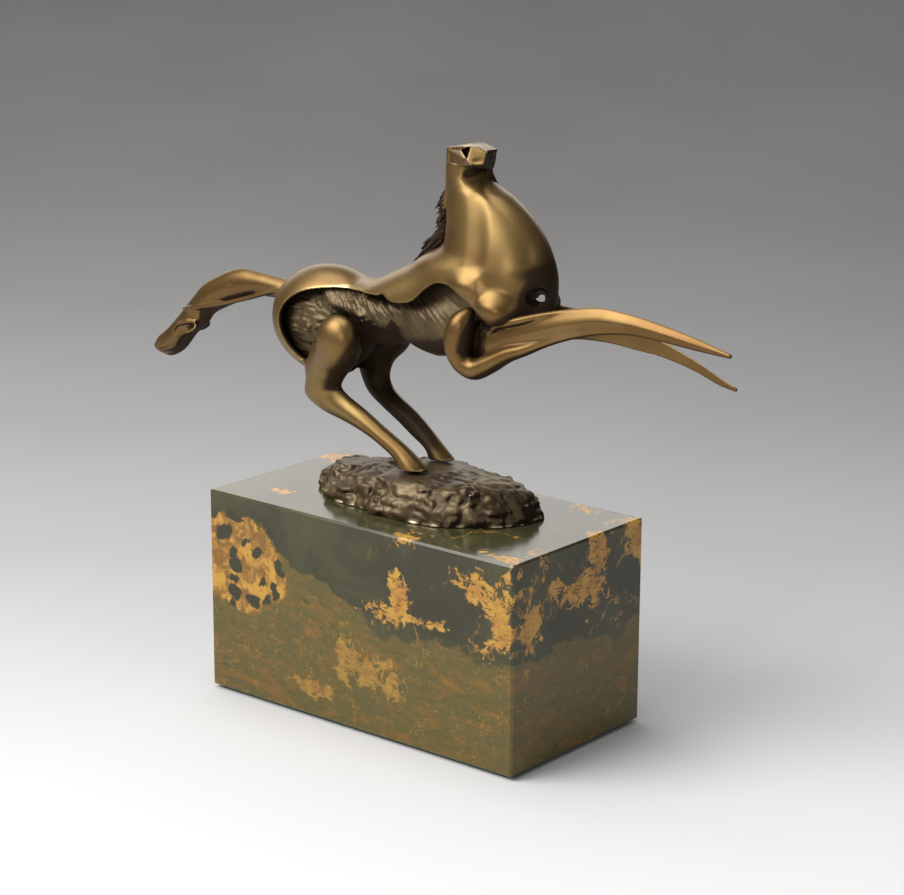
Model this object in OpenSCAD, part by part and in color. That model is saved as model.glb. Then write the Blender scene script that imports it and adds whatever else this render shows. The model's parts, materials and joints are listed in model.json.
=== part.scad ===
// Bronze horse on a stone plinth: a leaping horse with an open shell over its back,
// standing on a cast piece of ground that is bolted down from under the stone.
// Frame: X runs from tail to forelegs, Y from the horse's right side to its left, Z up.
// The origin is the centre of the felt's underside.

/* [Stone plinth] */
// Length of the block, along the horse
plinth_l = 150; // [125:1:190]
// Width of the block
plinth_w = 78; // [65:1:110]
// Height of the block
plinth_h = 80; // [55:1:110]
// Bevel along every edge
plinth_bevel = 0.8; // [0.4:0.1:3]

/* [Felt] */
// Thickness of the felt under the plinth
felt_t = 1.2; // [0.8:0.1:3]
// Distance from the plinth's edge to the felt's edge
felt_margin = 2; // [1:0.5:8]

/* [Cast ground] */
// Length of the ground
ground_l = 97; // [80:1:120]
// Width of the ground
ground_w = 54; // [45:1:65]
// Height of the hooves above the plinth
ground_h = 16; // [13:0.5:22]
// Wall of the ground casting
ground_wall = 3.2; // [2.5:0.1:4.5]

/* [Horse] */
// Buttock to breast
body_l = 131; // [108:1:158]
// Belly to back
body_h = 28; // [23:0.5:34]
// Width over the haunches
body_w = 34; // [28:0.5:41]
// Hooves to belly
stance_h = 43; // [35:0.5:52]
// Back to poll
neck_h = 44; // [36:0.5:53]
// Breast to the tips of the forelegs
reach_l = 85; // [70:1:102]
// Buttock to the tip of the tail
tail_l = 73; // [60:1:88]
// Length of the head
head_l = 32; // [26.5:0.5:38.5]
// Wall of the shell over the back
skin = 2.4; // [1.8:0.1:3.2]

/* [Fixings] */
// Nominal diameter of the two studs
stud_d = 6; // [5:1:8]
// Distance between the studs
stud_pitch = 46; // [38:1:56]
// Depth of the counterbores under the plinth
sink_h = 14; // [10:1:24]
// Diameter of the counterbores
sink_d = 22; // [18:1:28]
// Diameter of the pins between the castings
pin_d = 3; // [2.5:0.1:3.6]
// Diameter of the tenons under the hooves
tenon_d = 4.4; // [3.6:0.1:5.4]

/* [Hidden] */

round_fn = 48;              // facets that a round feature is previewed with
fit = 0.05;                 // radial clearance of pins, tenons and studs in their holes
joint_gap = 0.1;            // brazed gap between two castings
spare = 1;                  // how far a cut runs past the face it opens
side_reach = 30;            // half width of the cuts across the horse
bronze = [0.33, 0.24, 0.13];
dark_bronze = [0.17, 0.13, 0.08];
steel = [0.62, 0.62, 0.60];
stone = [0.20, 0.21, 0.15];
green_felt = [0.10, 0.24, 0.14];

plinth_z = felt_t;
top_z = felt_t + plinth_h;          // top of the stone
seat_z = top_z + ground_h;          // where the hooves stand
stud_x = stud_pitch / 2;
stud_hole_d = stud_d + 1;      // clearance hole through the stone
washer_t = 1.6;
washer_d = min(stud_d * 2 + 6, sink_d - 1);
washer_play = 0.4;          // the washer's bore over the stud
nut_h = stud_d * 0.8;
stud_end = 2;               // how far a stud stands out below its nut
nut_af = stud_d * 1.7;              // across flats
boss_d = stud_d + 7;        // bosses in the ground that the studs are tapped into
tenon_boss_d = tenon_d + 4.6;
tenon_h = ground_h * 0.55;
hoof_seat_d = 19;           // flat spots that the hooves stand on
hoof_seat_h = 6;
tap_depth = ground_h * 0.5;
thread_pitch = 1;
thread_depth = 0.35;
felt_corner = 3;            // radius of the felt's corners

// It is drawn with X from the plinth's middle and Z from the hooves, and each length
// below is the one in the drawing that a driving size replaces.
drawn_body_l = 131;
drawn_body_h = 28;
drawn_body_w = 34;
drawn_stance_h = 43;
drawn_neck_h = 44;
drawn_reach_l = 85;
drawn_tail_l = 73;
buttock_x = -71;
breast_x = 60;
belly = drawn_stance_h;
back = belly + drawn_body_h;
kx = body_l / drawn_body_l;
ky = body_w / drawn_body_w;

function hx(x) = x > breast_x ? breast_x * kx + (x - breast_x) * reach_l / drawn_reach_l
    : x < buttock_x ? buttock_x * kx + (x - buttock_x) * tail_l / drawn_tail_l : x * kx;
function hy(y) = y * ky;
function hz(z) = seat_z + (z < belly ? z * stance_h / drawn_stance_h
    : z < back ? stance_h + (z - belly) * body_h / drawn_body_h
    : stance_h + body_h + (z - back) * neck_h / drawn_neck_h);
function place(p) = [hx(p[0]), hy(p[1]), hz(p[2])];

// Curves and lofts
function unit(v) = v / norm(v);
function power(c, p) = sign(c) * pow(abs(c), 2 / p);
// A smooth curve through the rows of a table, at u from 0 to its last row
function along(t, u) = let (last = len(t) - 1, i = min(floor(u), last - 1), f = u - i,
    a = t[max(i - 1, 0)], b = t[i], c = t[i + 1], d = t[min(i + 2, last)])
    0.5 * (2 * b + (c - a) * f + (2 * a - 5 * b + 4 * c - d) * f * f + (3 * b - a - 3 * c + d) * f * f * f);
function middle(row) = [row[0] + row[3], row[1] + row[4], row[2] + row[5]] / 2;
// One ring of a limb. A row is the upper rail's point, the lower rail's point and half the thickness
function limb_ring(rows, u, sides, p) = let (row = along(rows, u), last = len(rows) - 1,
    c = middle(row), v = [row[0] - row[3], row[1] - row[4], row[2] - row[5]] / 2,
    t = middle(along(rows, min(u + 0.05, last))) - middle(along(rows, max(u - 0.05, 0))),
    n = unit(cross(t, v)))
    [for (k = [0:sides - 1]) let (a = 360 * (k + 0.5) / sides)
        place(c + v * power(cos(a), p) + n * row[6] * power(sin(a), p))];
function ring_faces(rings, sides) = concat(
    [for (i = [0:rings - 2]) for (k = [0:sides - 1]) let (a = i * sides + k, b = i * sides + (k + 1) % sides)
        each [[a, b + sides, b], [a, a + sides, b + sides]]],
    [for (k = [1:sides - 2]) [0, k, k + 1]],
    [for (k = [1:sides - 2]) let (e = (rings - 1) * sides) [e, e + k + 1, e + k]]);
module rings_solid(rings) {
    sides = len(rings[0]);
    polyhedron([for (r = rings) each r], ring_faces(len(rings), sides), convexity = 6);
}
// A limb between two rails. side is -1 for the horse's right and 1 for its left
module limb(rows, steps, sides = 20, p = 2, side = 1) {
    last = len(rows) - 1;
    rings = [for (i = [0:steps]) limb_ring(rows, i * last / steps, sides, p)];
    mirror([0, side < 0 ? 0 : 1, 0]) rings_solid(rings);
}
// A box between two corners of the drawing
module drawn_box(low, high) {
    a = place(low);
    b = place(high);
    translate(a) cube(b - a);
}

// Tables of the drawing: [upper rail x, y, z, lower rail x, y, z, half thickness]
hind_leg_rows_right = [
    [-25, -14, 56.5, -31, -14, 55.5, 2], [-19.5, -14, 52, -37, -14, 50.5, 5.6],
    [-17.5, -14, 46, -39.2, -14, 43.5, 6.8], [-19.5, -13.5, 39.5, -42, -13, 38, 6.2],
    [-26, -12, 33.5, -46.6, -12, 34, 5.2], [-31.2, -11, 28.6, -48.6, -11, 27.5, 4.4],
    [-32.4, -10.6, 25.8, -48.8, -10.6, 20.4, 4], [-28.5, -10.4, 23.3, -41, -10.2, 15.8, 3.8],
    [-19.6, -10, 18.9, -28, -10, 12.5, 3.5], [-9.8, -9.6, 13.2, -17.6, -9.6, 9.2, 3.2],
    [0, -9.2, 7.6, -9.4, -9.2, 5.2, 3.3], [6, -9, 3.4, -4.8, -9, 2.2, 3.8], [9.4, -9, 0, -4.2, -9, 0, 4.2]];
hind_leg_rows_left = [
    [-25, -14, 56.5, -31, -14, 55.5, 2], [-19.5, -14, 52, -37, -14, 50.5, 5.6],
    [-18.5, -14, 46, -39.5, -14, 43, 6.8], [-22.5, -13, 39.5, -41.4, -12.8, 36.4, 6.2],
    [-26.6, -12, 33.6, -41, -12, 30.2, 5.2], [-27.8, -11, 28.2, -38.6, -11, 24.2, 4.6],
    [-26, -10.6, 24.2, -34.6, -10.6, 19.4, 4.2], [-21, -10.2, 20.6, -27.8, -10.2, 15.4, 3.9],
    [-12.4, -10, 15.8, -20, -10, 11, 3.6], [-4.6, -9.6, 10.4, -12.6, -9.6, 6.6, 3.3],
    [1.4, -9.2, 5.6, -7, -9.2, 3.8, 3.3], [5, -9, 2.4, -4.4, -9, 1.6, 3.8], [8, -9, 0, -3.8, -9, 0, 4.2]];
foreleg_ball_right = [
    [31.4, -15, 66.8, 29.6, -15, 66.6, 1.6], [34.6, -15, 65.4, 26.6, -15, 65.6, 4.2],
    [37, -15, 60, 23.6, -15, 59.4, 5.6], [38.2, -15, 54, 24.4, -15, 52, 5.6],
    [39.2, -14.6, 51, 28, -14.6, 46, 5], [40, -14.2, 50.4, 34, -14.2, 41.6, 4.4],
    [41.4, -13.8, 52, 40.4, -13.8, 41.6, 3.8], [43.2, -13.4, 59, 46, -13.4, 45.4, 3.1],
    [47.5, -13, 64.8, 52, -13, 49.8, 2.8]];
foreleg_ball_left = [
    [31.4, -15, 66.8, 29.6, -15, 66.6, 1.6], [34.6, -15, 65.4, 26.6, -15, 65.6, 4.2],
    [37, -15, 61, 23.6, -15, 60.4, 5.6], [38.2, -15, 57, 24.4, -15, 55.4, 5.6],
    [39.2, -14.6, 55.6, 29, -14.6, 52, 5], [40.4, -14.2, 55.6, 35, -14.2, 50.6, 4.4],
    [42, -13.8, 57.4, 41, -13.8, 50.6, 3.8], [44.4, -13.4, 61, 46.6, -13.4, 51, 3.1],
    [48.6, -13, 64.6, 52, -13, 52.2, 2.8]];
foreleg_reach_right = [
    [56, -12.6, 66.3, 59.5, -12.6, 53.3, 2.8], [66.5, -12.2, 69.6, 68, -12.2, 57.8, 2.8],
    [77, -11.8, 72.2, 79, -11.8, 62.1, 2.6], [90, -11.2, 74.3, 91, -11.2, 65, 2.4],
    [104, -10.6, 73.4, 103, -10.6, 66.5, 2.1], [117, -10.2, 71.4, 115.4, -10.2, 66, 1.8],
    [130.5, -9.6, 68.6, 128.6, -9.6, 64.8, 1.4], [143.6, -9, 65, 143.2, -9, 64.4, 0.5]];
foreleg_reach_left = [
    [56.4, -12, 65.8, 58.6, -12, 54, 2.8], [66.5, -11, 66, 67, -11, 55.4, 2.8],
    [79, -10.2, 65, 79.4, -10.2, 56, 2.6], [92, -9.6, 63.2, 91.6, -9.6, 55.5, 2.3],
    [104, -9.2, 60.4, 101.6, -9.2, 55.2, 2], [117.6, -9, 55.5, 115, -9, 52.6, 1.6],
    [128.6, -9, 50.5, 127, -9, 48.8, 1.1], [134, -9, 48.4, 133.8, -9, 48, 0.4]];
tail_rows = [
    [-66.4, 0, 61.2, -68.6, 0, 53.2, 3.6], [-76, 0, 62, -77, 0, 53.4, 3.3],
    [-84, 0, 62.2, -84.5, 0, 52.8, 3.4], [-93.3, 0, 62.3, -94, 0, 49.4, 3.8],
    [-102, 0, 59.9, -101.5, 0, 46.2, 4], [-113.5, 0, 54, -109, 0, 42.3, 4.1],
    [-120.5, 0, 47.3, -113.8, 0, 37, 4.1], [-127.5, 0, 40, -119.8, 0, 32.2, 3.9],
    [-135, 0, 32.8, -126.5, 0, 25, 3.4], [-141, 0, 28.4, -134, 0, 21.2, 2.6],
    [-144, 0, 24.2, -140.6, 0, 21.4, 1]];
core_rows = [
    [-65.6, 0, 53, -65.6, 0, 46, 2.6], [-62, 0, 60, -62, 0, 40, 6.4], [-54, 0, 66, -54, 0, 36.4, 8.6],
    [-44, 0, 67.6, -44, 0, 34.8, 9], [-30, 0, 68.2, -30, 0, 37.6, 9.1], [-16, 0, 68.6, -16, 0, 42.6, 9.4],
    [-4, 0, 72.2, -4, 0, 43.8, 12.8], [8, 0, 76, 8, 0, 43.6, 12.4], [20, 0, 76, 20, 0, 44.2, 9.1],
    [32, 0, 75, 32, 0, 46, 9.1], [42, 0, 73, 42, 0, 50, 8.4], [49, 0, 70, 49, 0, 57, 5]];
mane_rows = [
    [-6, 0, 77, 4.6, 0, 79.6, 1.4], [-3, 0, 84.5, 11.6, 0, 85.6, 2], [2, 0, 90.4, 15.6, 0, 91.4, 2.2],
    [5.6, 0, 97, 15.8, 0, 97, 2], [8.2, 0, 103, 15.6, 0, 102.6, 1.7], [11.2, 0, 109, 15.4, 0, 108.2, 0.9]];
// Level sections of neck and breast: [height, rearmost x, foremost x, half width]
neck_rows = [
    [64, 1, 58.6, 15.6], [70, 0, 59.6, 16.4], [76, 0.5, 60, 16.6], [80, 3, 59.4, 15.8],
    [85.6, 12.4, 57.6, 13.9], [92.4, 13.7, 54.6, 12.2], [99.8, 13.6, 48.4, 10.2], [105.3, 13.6, 41, 8.9],
    [108, 13.6, 33.6, 8], [112, 13.7, 28.4, 7.2], [116, 13.8, 27.4, 7]];
// The shell's ridge and lips: [ridge x, ridge z, half width, depth of the lips below the ridge]
shell_rows = [
    [-46, 26.5, 11.5, 7], [-53, 29, 13, 10], [-61.6, 33, 14.6, 13.6], [-67.8, 40, 15.8, 13],
    [-70.6, 50, 16.6, 12.4], [-69, 60.6, 17, 12], [-60.5, 68.2, 17, 9.6], [-48, 70.8, 17, 8.6],
    [-34, 71.5, 16.6, 7.4], [-22, 70.9, 16, 6.6], [-12, 73.2, 16.2, 8.8], [0, 79, 16.6, 14],
    [8, 83.4, 16.8, 17]];
// Head sections: [share of its length from the back of the skull, top, bottom, half width]
head_rows = [
    [0, 2.5, -3, 3.4], [0.1, 6.4, -6.6, 7.4], [0.26, 7.6, -8, 8.6], [0.42, 7.4, -7.4, 8],
    [0.62, 5.8, -5.8, 6], [0.85, 4.6, -4.8, 5], [1, 4.2, -4.2, 4.6]];

neck_seat = 67.2;       // level where the neck sits on the torso and the forelegs
shell_end = 8;          // where the shell over the back meets the neck
shell_foot = 32.3;      // level where the shell meets the hind legs
poll_seat = 114.4;      // level where the head sits on the neck
flank_y = 9.2;          // side of the core that the legs are brazed to
arch = [26.5, 60.5, 73.7];   // arch over each shoulder: middle x, middle z, top z
arch_w = 20;
poll = [22.2, 1.2, 115.8];
head_turn = -50;        // the head looks this far to the horse's right
head_rise = 14;         // and this far up
hoof = [2.8, 9];
hip = [-30, 46];
shoulder = [31, 56];
tail_root = [-72.4, 57.5];

// Stone, felt and fixings
module plinth_block() {
    module outline(l, w) {
        b = plinth_bevel;
        polygon([[b - l / 2, -w / 2], [l / 2 - b, -w / 2], [l / 2, b - w / 2], [l / 2, w / 2 - b],
            [l / 2 - b, w / 2], [b - l / 2, w / 2], [-l / 2, w / 2 - b], [-l / 2, b - w / 2]]);
    }
    translate([0, 0, plinth_z + plinth_h / 2]) intersection() {
        linear_extrude(plinth_h, center = true) outline(plinth_l, plinth_w);
        rotate([90, 0, 0]) linear_extrude(plinth_w, center = true) outline(plinth_l, plinth_h);
        rotate([90, 0, 90]) linear_extrude(plinth_l, center = true) outline(plinth_w, plinth_h);
    }
}
module plinth() {
    color(stone) difference() {
        plinth_block();
        for (x = [-stud_x, stud_x]) translate([x, 0, plinth_z]) {
            translate([0, 0, -spare]) cylinder(d = stud_hole_d, h = plinth_h + 2 * spare, $fn = round_fn);
            translate([0, 0, -spare]) cylinder(d = sink_d, h = sink_h + spare, $fn = round_fn);
        }
    }
}
module felt_pad() {
    l = plinth_l - 2 * felt_margin;
    w = plinth_w - 2 * felt_margin;
    r = felt_corner;
    color(green_felt) linear_extrude(felt_t) union() {
        square([l - 2 * r, w], center = true);
        square([l, w - 2 * r], center = true);
        for (x = [r - l / 2, l / 2 - r], y = [r - w / 2, w / 2 - r])
            translate([x, y]) circle(r, $fn = round_fn);
    }
}
washer_z = plinth_z + sink_h - washer_t;
nut_z = washer_z - nut_h;
module stud(x) {
    low = nut_z - stud_end;
    high = top_z + tap_depth;
    r = stud_d / 2;
    root = r - thread_depth;
    turns = floor((nut_h + 3 * stud_end) / thread_pitch);
    tapped = floor(tap_depth / thread_pitch);
    lower = [for (i = [0:turns - 1]) each
        [[root, low + i * thread_pitch], [r, low + (i + 0.5) * thread_pitch]]];
    upper = [for (i = [tapped - 1:-1:0]) each
        [[r, high - (i + 0.5) * thread_pitch], [root, high - i * thread_pitch]]];
    color(steel) translate([x, 0, 0]) rotate_extrude($fn = round_fn)
        polygon(concat([[0, low]], lower, [[root, low + turns * thread_pitch]], upper, [[0, high]]));
}
module washer(x) {
    color(steel) translate([x, 0, washer_z]) difference() {
        cylinder(d = washer_d, h = washer_t, $fn = round_fn);
        translate([0, 0, -spare])
            cylinder(d = stud_d + washer_play, h = washer_t + 2 * spare, $fn = round_fn);
    }
}
module nut(x) {
    corner_r = nut_af / 2 / cos(30);
    c = corner_r - nut_af / 2;
    color(steel) translate([x, 0, nut_z]) difference() {
        intersection() {
            cylinder(r = corner_r, h = nut_h, $fn = 6);
            union() {
                cylinder(r1 = nut_af / 2, r2 = corner_r, h = c, $fn = round_fn);
                translate([0, 0, c]) cylinder(r = corner_r, h = nut_h - c, $fn = round_fn);
            }
        }
        translate([0, 0, -spare]) cylinder(r = stud_d / 2 + fit, h = nut_h + 2 * spare, $fn = round_fn);
    }
}

// The cast ground's outline is a slightly knobbly oval, and its top climbs from the rear to the front
ground_shift = [1, 1];
oval = 2.3;             // power of the oval, 2 for an ellipse
function knob(a) = 1 + 0.018 * sin(5 * a + 20) + 0.014 * sin(9 * a + 70) + 0.008 * sin(17 * a);
function outline_at(a, inset) = ground_shift + knob(a)
    * [(ground_l / 2 - inset) * power(cos(a), oval), (ground_w / 2 - inset) * power(sin(a), oval)];
function crown(x) = let (t = x / (ground_l / 2))
    ground_h * (0.86 + 0.2 * sin(45 + 85 * t) - 0.1 * t * t);
function lumps(x, y) = 0.35 * sin(x * 27 + y * 19) + 0.3 * sin(x * 15 - y * 33 + 40);
ground_steps = 9;
ground_sides = 44;
// Rings from the foot of the casting to its crown; the last one is a point
function ground_ring(i, inset) = let (u = i / ground_steps, rise = sin(90 * pow(u, 0.55)),
    shrink = max(1 - pow(u, 2.2), 0.004))
    [for (k = [0:ground_sides - 1]) let (o = outline_at(360 * k / ground_sides, inset) * shrink,
        h = crown(o[0]) + (inset > 0 ? -inset : lumps(o[0], o[1])))
        [o[0], o[1], top_z + max(0, h * rise)]];
module ground_mass(inset) {
    foot = [for (p = ground_ring(0, inset)) [p[0], p[1], top_z - (inset > 0 ? spare : 0)]];
    rings_solid([foot, for (i = [1:ground_steps]) ground_ring(i, inset)]);
}
module ground() {
    color(dark_bronze) difference() {
        ground_mass(0);
        difference() {
            ground_mass(ground_wall);
            for (x = [-stud_x, stud_x])
                translate([x, 0, top_z]) cylinder(d = boss_d, h = ground_h, $fn = round_fn);
            for (y = [-1, 1]) translate([hx(hoof[0]), hy(hoof[1]) * y, top_z])
                cylinder(d = tenon_boss_d, h = ground_h, $fn = round_fn);
        }
        for (x = [-stud_x, stud_x]) translate([x, 0, top_z - spare])
            cylinder(r = stud_d / 2 + fit, h = tap_depth + 2 * spare, $fn = round_fn);
        for (y = [-1, 1]) translate([hx(hoof[0]), hy(hoof[1]) * y, seat_z]) {
            cylinder(d = hoof_seat_d, h = hoof_seat_h, $fn = round_fn);
            translate([0, 0, -tenon_h - spare / 2])
                cylinder(r = tenon_d / 2 + fit, h = tenon_h + spare, $fn = round_fn);
        }
    }
}

// The horse's castings and the pins between them
module pin_along_y(x, z, half, extra = 0) {
    translate([hx(x), 0, hz(z)]) rotate([90, 0, 0])
        cylinder(r = pin_d / 2 + extra, h = 2 * half + 2 * extra, center = true, $fn = round_fn);
}
cross_pin_half = hy(15.5);     // half length of the pins through hips and shoulders
module hip_pin_body(extra = 0) {
    pin_along_y(hip[0], hip[1], cross_pin_half, extra);
}
module shoulder_pin_body(extra = 0) {
    pin_along_y(shoulder[0], shoulder[1], cross_pin_half, extra);
}
module hind_leg(side) {
    color(bronze) difference() {
        union() {
            limb(side < 0 ? hind_leg_rows_right : hind_leg_rows_left, 40, 20, 2, side);
            translate([hx(hoof[0]), side * hy(hoof[1]), seat_z - tenon_h])
                cylinder(d = tenon_d, h = tenon_h + 2, $fn = round_fn);
        }
        mirror([0, side < 0 ? 0 : 1, 0]) {
            drawn_box([-50, -flank_y, 34.5], [0, 4, 60]);
            drawn_box([-60, -side_reach, shell_foot - joint_gap], [-38.5, 4, 60]);
        }
        hip_pin_body(fit);
    }
}
module foreleg(side) {
    rows = side < 0 ? concat(foreleg_ball_right, foreleg_reach_right)
        : concat(foreleg_ball_left, foreleg_reach_left);
    color(bronze) difference() {
        limb(rows, 56, 18, 2, side);
        mirror([0, side < 0 ? 0 : 1, 0]) drawn_box([20, -flank_y, 38], [50, 4, 68]);
        shoulder_pin_body(fit);
    }
}
back_pin_rows = [[-48, 58, 69.2], [-8, 60, 73.6]];    // x, low end, high end
neck_pin_rows = [[19, 59.5, 76], [40, 59.5, 76]];
module upright_pin(x, low, high, extra = 0) {
    translate([hx(x), 0, hz(low) - extra])
        cylinder(r = pin_d / 2 + extra, h = hz(high) - hz(low) + 2 * extra, $fn = round_fn);
}
module back_pin_set(extra = 0) {
    for (p = back_pin_rows) upright_pin(p[0], p[1], p[2], extra);
}
module neck_pin_set(extra = 0) {
    for (p = neck_pin_rows) upright_pin(p[0], p[1], p[2], extra);
}
module torso_core() {
    color(dark_bronze) difference() {
        limb(core_rows, 36, 24, 2.3, -1);
        drawn_box([shell_end - 0.3, -side_reach, neck_seat - joint_gap], [60, side_reach, 90]);
        hip_pin_body(fit);
        shoulder_pin_body(fit);
        back_pin_set(fit);
        neck_pin_set(fit);
        tail_pin_body(fit);
    }
}
// The shell is an arch swept along the ridge, open below between its two lips
shell_sides = 16;
shell_steps = 40;
function shell_at(u, a) = let (row = along(shell_rows, u), last = len(shell_rows) - 1,
    q = along(shell_rows, min(u + 0.05, last)) - along(shell_rows, max(u - 0.05, 0)),
    n = unit([-q[1], 0, q[0]]), w = row[2], d = row[3],
    out = unit([0, sin(a) / w, 0] + n * cos(a) / d))
    [[row[0], w * sin(a), row[1]] - n * d * (1 - cos(a)), out];
function shell_ring(u) = let (arc = [for (k = [0:shell_sides]) shell_at(u, -90 + 180 * k / shell_sides)])
    concat([for (s = arc) place(s[0])],
        [for (k = [shell_sides:-1:0]) place(arc[k][0]) - skin * arc[k][1]]);
// The space inside the shell's outer face, to fit other castings to it
module shell_inside(grow) {
    rings_solid([for (i = [0:shell_steps]) let (u = i * (len(shell_rows) - 1) / shell_steps)
        [for (k = [0:shell_sides]) let (s = shell_at(u, 90 - 180 * k / shell_sides))
            place(s[0]) + grow * s[1]]]);
}
module back_shell() {
    rings = [for (i = [0:shell_steps]) shell_ring(i * (len(shell_rows) - 1) / shell_steps)];
    n = 2 * (shell_sides + 1);
    faces = concat(
        [for (i = [0:shell_steps - 1]) for (k = [0:n - 1]) let (a = i * n + k, b = i * n + (k + 1) % n)
            each [[a, b, b + n], [a, b + n, a + n]]],
        [for (k = [0:shell_sides - 1]) each [[k, n - 1 - k, k + 1], [k + 1, n - 1 - k, n - 2 - k]]],
        [for (k = [0:shell_sides - 1]) let (e = shell_steps * n)
            each [[e + k, e + k + 1, e + n - 1 - k], [e + k + 1, e + n - 2 - k, e + n - 1 - k]]]);
    color(bronze) difference() {
        polyhedron([for (r = rings) each r], faces, convexity = 6);
        drawn_box([-75, -side_reach, 10], [-30, side_reach, shell_foot]);
        drawn_box([shell_end - joint_gap, -side_reach, 40], [60, side_reach, 120]);
        back_pin_set(fit);
        tail_pin_body(fit);
    }
}
// Level sections, fuller at the breast than at the crest
function neck_ring(u, sides, grow = 0) = let (row = along(neck_rows, u), cx = (row[1] + row[2]) / 2,
    a = (row[2] - row[1]) / 2 + grow, w = row[3] + grow)
    [for (k = [0:sides - 1]) let (t = 360 * (k + 0.5) / sides)
        place([cx + a * power(cos(t), 2.1), w * power(sin(t), 2.1), row[0]])];
module neck_body(grow = 0) {
    steps = 36;
    last = len(neck_rows) - 1;
    rings_solid([for (i = [0:steps]) neck_ring(i * last / steps, 32, grow)]);
}
module neck() {
    color(bronze) difference() {
        neck_body();
        drawn_box([-10, -side_reach, 50], [80, side_reach, neck_seat]);
        drawn_box([-10, -side_reach, 50], [shell_end, side_reach, 86]);
        drawn_box([0, -side_reach, poll_seat], [60, side_reach, 130]);
        for (y = [-1, 1]) translate([hx(arch[0]), y * (hy(flank_y + 1.2) + arch_w / 2), hz(arch[1])])
            rotate([90, 0, 0])
                cylinder(r = hz(arch[2]) - hz(arch[1]), h = arch_w, center = true, $fn = round_fn);
        neck_pin_set(fit);
        head_pin_body(fit);
    }
}
head_ahead = [cos(head_turn) * cos(head_rise), sin(head_turn) * cos(head_rise), sin(head_rise)];
head_side = unit(cross([0, 0, 1], head_ahead));
head_up = cross(head_ahead, head_side);
function head_at(s, side, v) = place(poll) + head_ahead * (s - 0.3) * head_l + head_side * side + head_up * v;
module head() {
    steps = 18;
    sides = 20;
    last = len(head_rows) - 1;
    rings = [for (i = [0:steps]) let (row = along(head_rows, i * last / steps))
        [for (k = [0:sides - 1]) let (t = 360 * k / sides)
            head_at(row[0], -row[3] * power(sin(t), 2.8),
                (row[1] + row[2]) / 2 + (row[1] - row[2]) / 2 * power(cos(t), 2.8))]];
    color(bronze) difference() {
        union() {
            rings_solid(rings);
            for (y = [-1, 1]) hull() {
                translate(head_at(0.14, 5.5 * y, 3.5)) sphere(2.6, $fn = 16);
                translate(head_at(0.22, 9.4 * y, 6.6)) sphere(0.6, $fn = 16);
            }
        }
        translate([-30, -40, -40] + [hx(poll[0]), 0, hz(poll_seat) + joint_gap]) cube([60, 60, 40]);
        head_pin_body(fit);
    }
}
module head_pin_body(extra = 0) {
    upright_pin(20.4, poll_seat - 8, poll_seat + 6, extra);
}
module mane() {
    color(dark_bronze) difference() {
        limb(mane_rows, 18, 14, 2, -1);
        neck_body(joint_gap);
        shell_inside(joint_gap);
    }
}
module tail_pin_body(extra = 0) {
    translate([hx(tail_root[0]), 0, hz(tail_root[1])]) rotate([0, 90, 0])
        cylinder(r = pin_d / 2 + extra, h = 19 + 2 * extra, center = true, $fn = round_fn);
}
module tail() {
    color(bronze) difference() {
        limb(tail_rows, 44, 18, 2, -1);
        shell_inside(joint_gap);
        tail_pin_body(fit);
    }
}
module hip_pin() color(steel) hip_pin_body();
module shoulder_pin() color(steel) shoulder_pin_body();
module back_pins() color(steel) back_pin_set();
module neck_pins() color(steel) neck_pin_set();
module head_pin() color(steel) head_pin_body();
module tail_pin() color(steel) tail_pin_body();

plinth();
felt_pad();
ground();
stud(-stud_x);  // stud_rear
stud(stud_x);  // stud_front
washer(-stud_x);  // washer_rear
washer(stud_x);  // washer_front
nut(-stud_x);  // nut_rear
nut(stud_x);  // nut_front
hind_leg(-1);  // hind_leg_right
hind_leg(1);  // hind_leg_left
torso_core();
back_shell();
neck();
head();
mane();
tail();
foreleg(-1);  // foreleg_right
foreleg(1);  // foreleg_left
hip_pin();
shoulder_pin();
back_pins();
neck_pins();
head_pin();
tail_pin();
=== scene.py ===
import json
import math

import bmesh
import bpy
import numpy as np
import openvdb
from mathutils import Matrix, Vector
from mathutils.geometry import tessellate_polygon


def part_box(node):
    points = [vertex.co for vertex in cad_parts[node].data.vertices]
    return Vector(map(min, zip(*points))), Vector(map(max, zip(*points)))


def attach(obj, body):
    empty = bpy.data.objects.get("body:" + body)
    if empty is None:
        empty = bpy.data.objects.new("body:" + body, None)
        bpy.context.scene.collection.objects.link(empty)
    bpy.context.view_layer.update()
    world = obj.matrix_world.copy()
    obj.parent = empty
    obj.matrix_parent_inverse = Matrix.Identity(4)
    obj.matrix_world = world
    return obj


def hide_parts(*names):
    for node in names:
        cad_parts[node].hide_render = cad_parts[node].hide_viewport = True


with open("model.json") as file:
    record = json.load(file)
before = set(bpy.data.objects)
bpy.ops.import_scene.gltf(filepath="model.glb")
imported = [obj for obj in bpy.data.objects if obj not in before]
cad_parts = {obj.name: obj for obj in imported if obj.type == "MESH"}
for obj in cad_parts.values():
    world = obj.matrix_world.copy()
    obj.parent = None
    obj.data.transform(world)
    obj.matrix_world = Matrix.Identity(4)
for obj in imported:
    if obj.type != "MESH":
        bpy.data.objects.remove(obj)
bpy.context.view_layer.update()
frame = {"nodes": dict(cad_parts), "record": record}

# the camera stands in front of the horse's right side, a little above its back
cameraSetup = {
    "place": (0.60713, -0.71677, 0.36061),
    "azimuth": 39.585,
    "elevation": 15.329,
    "roll": 0.258,
    "lens": 102.685,
    "sensor": 36.0,
}


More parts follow.
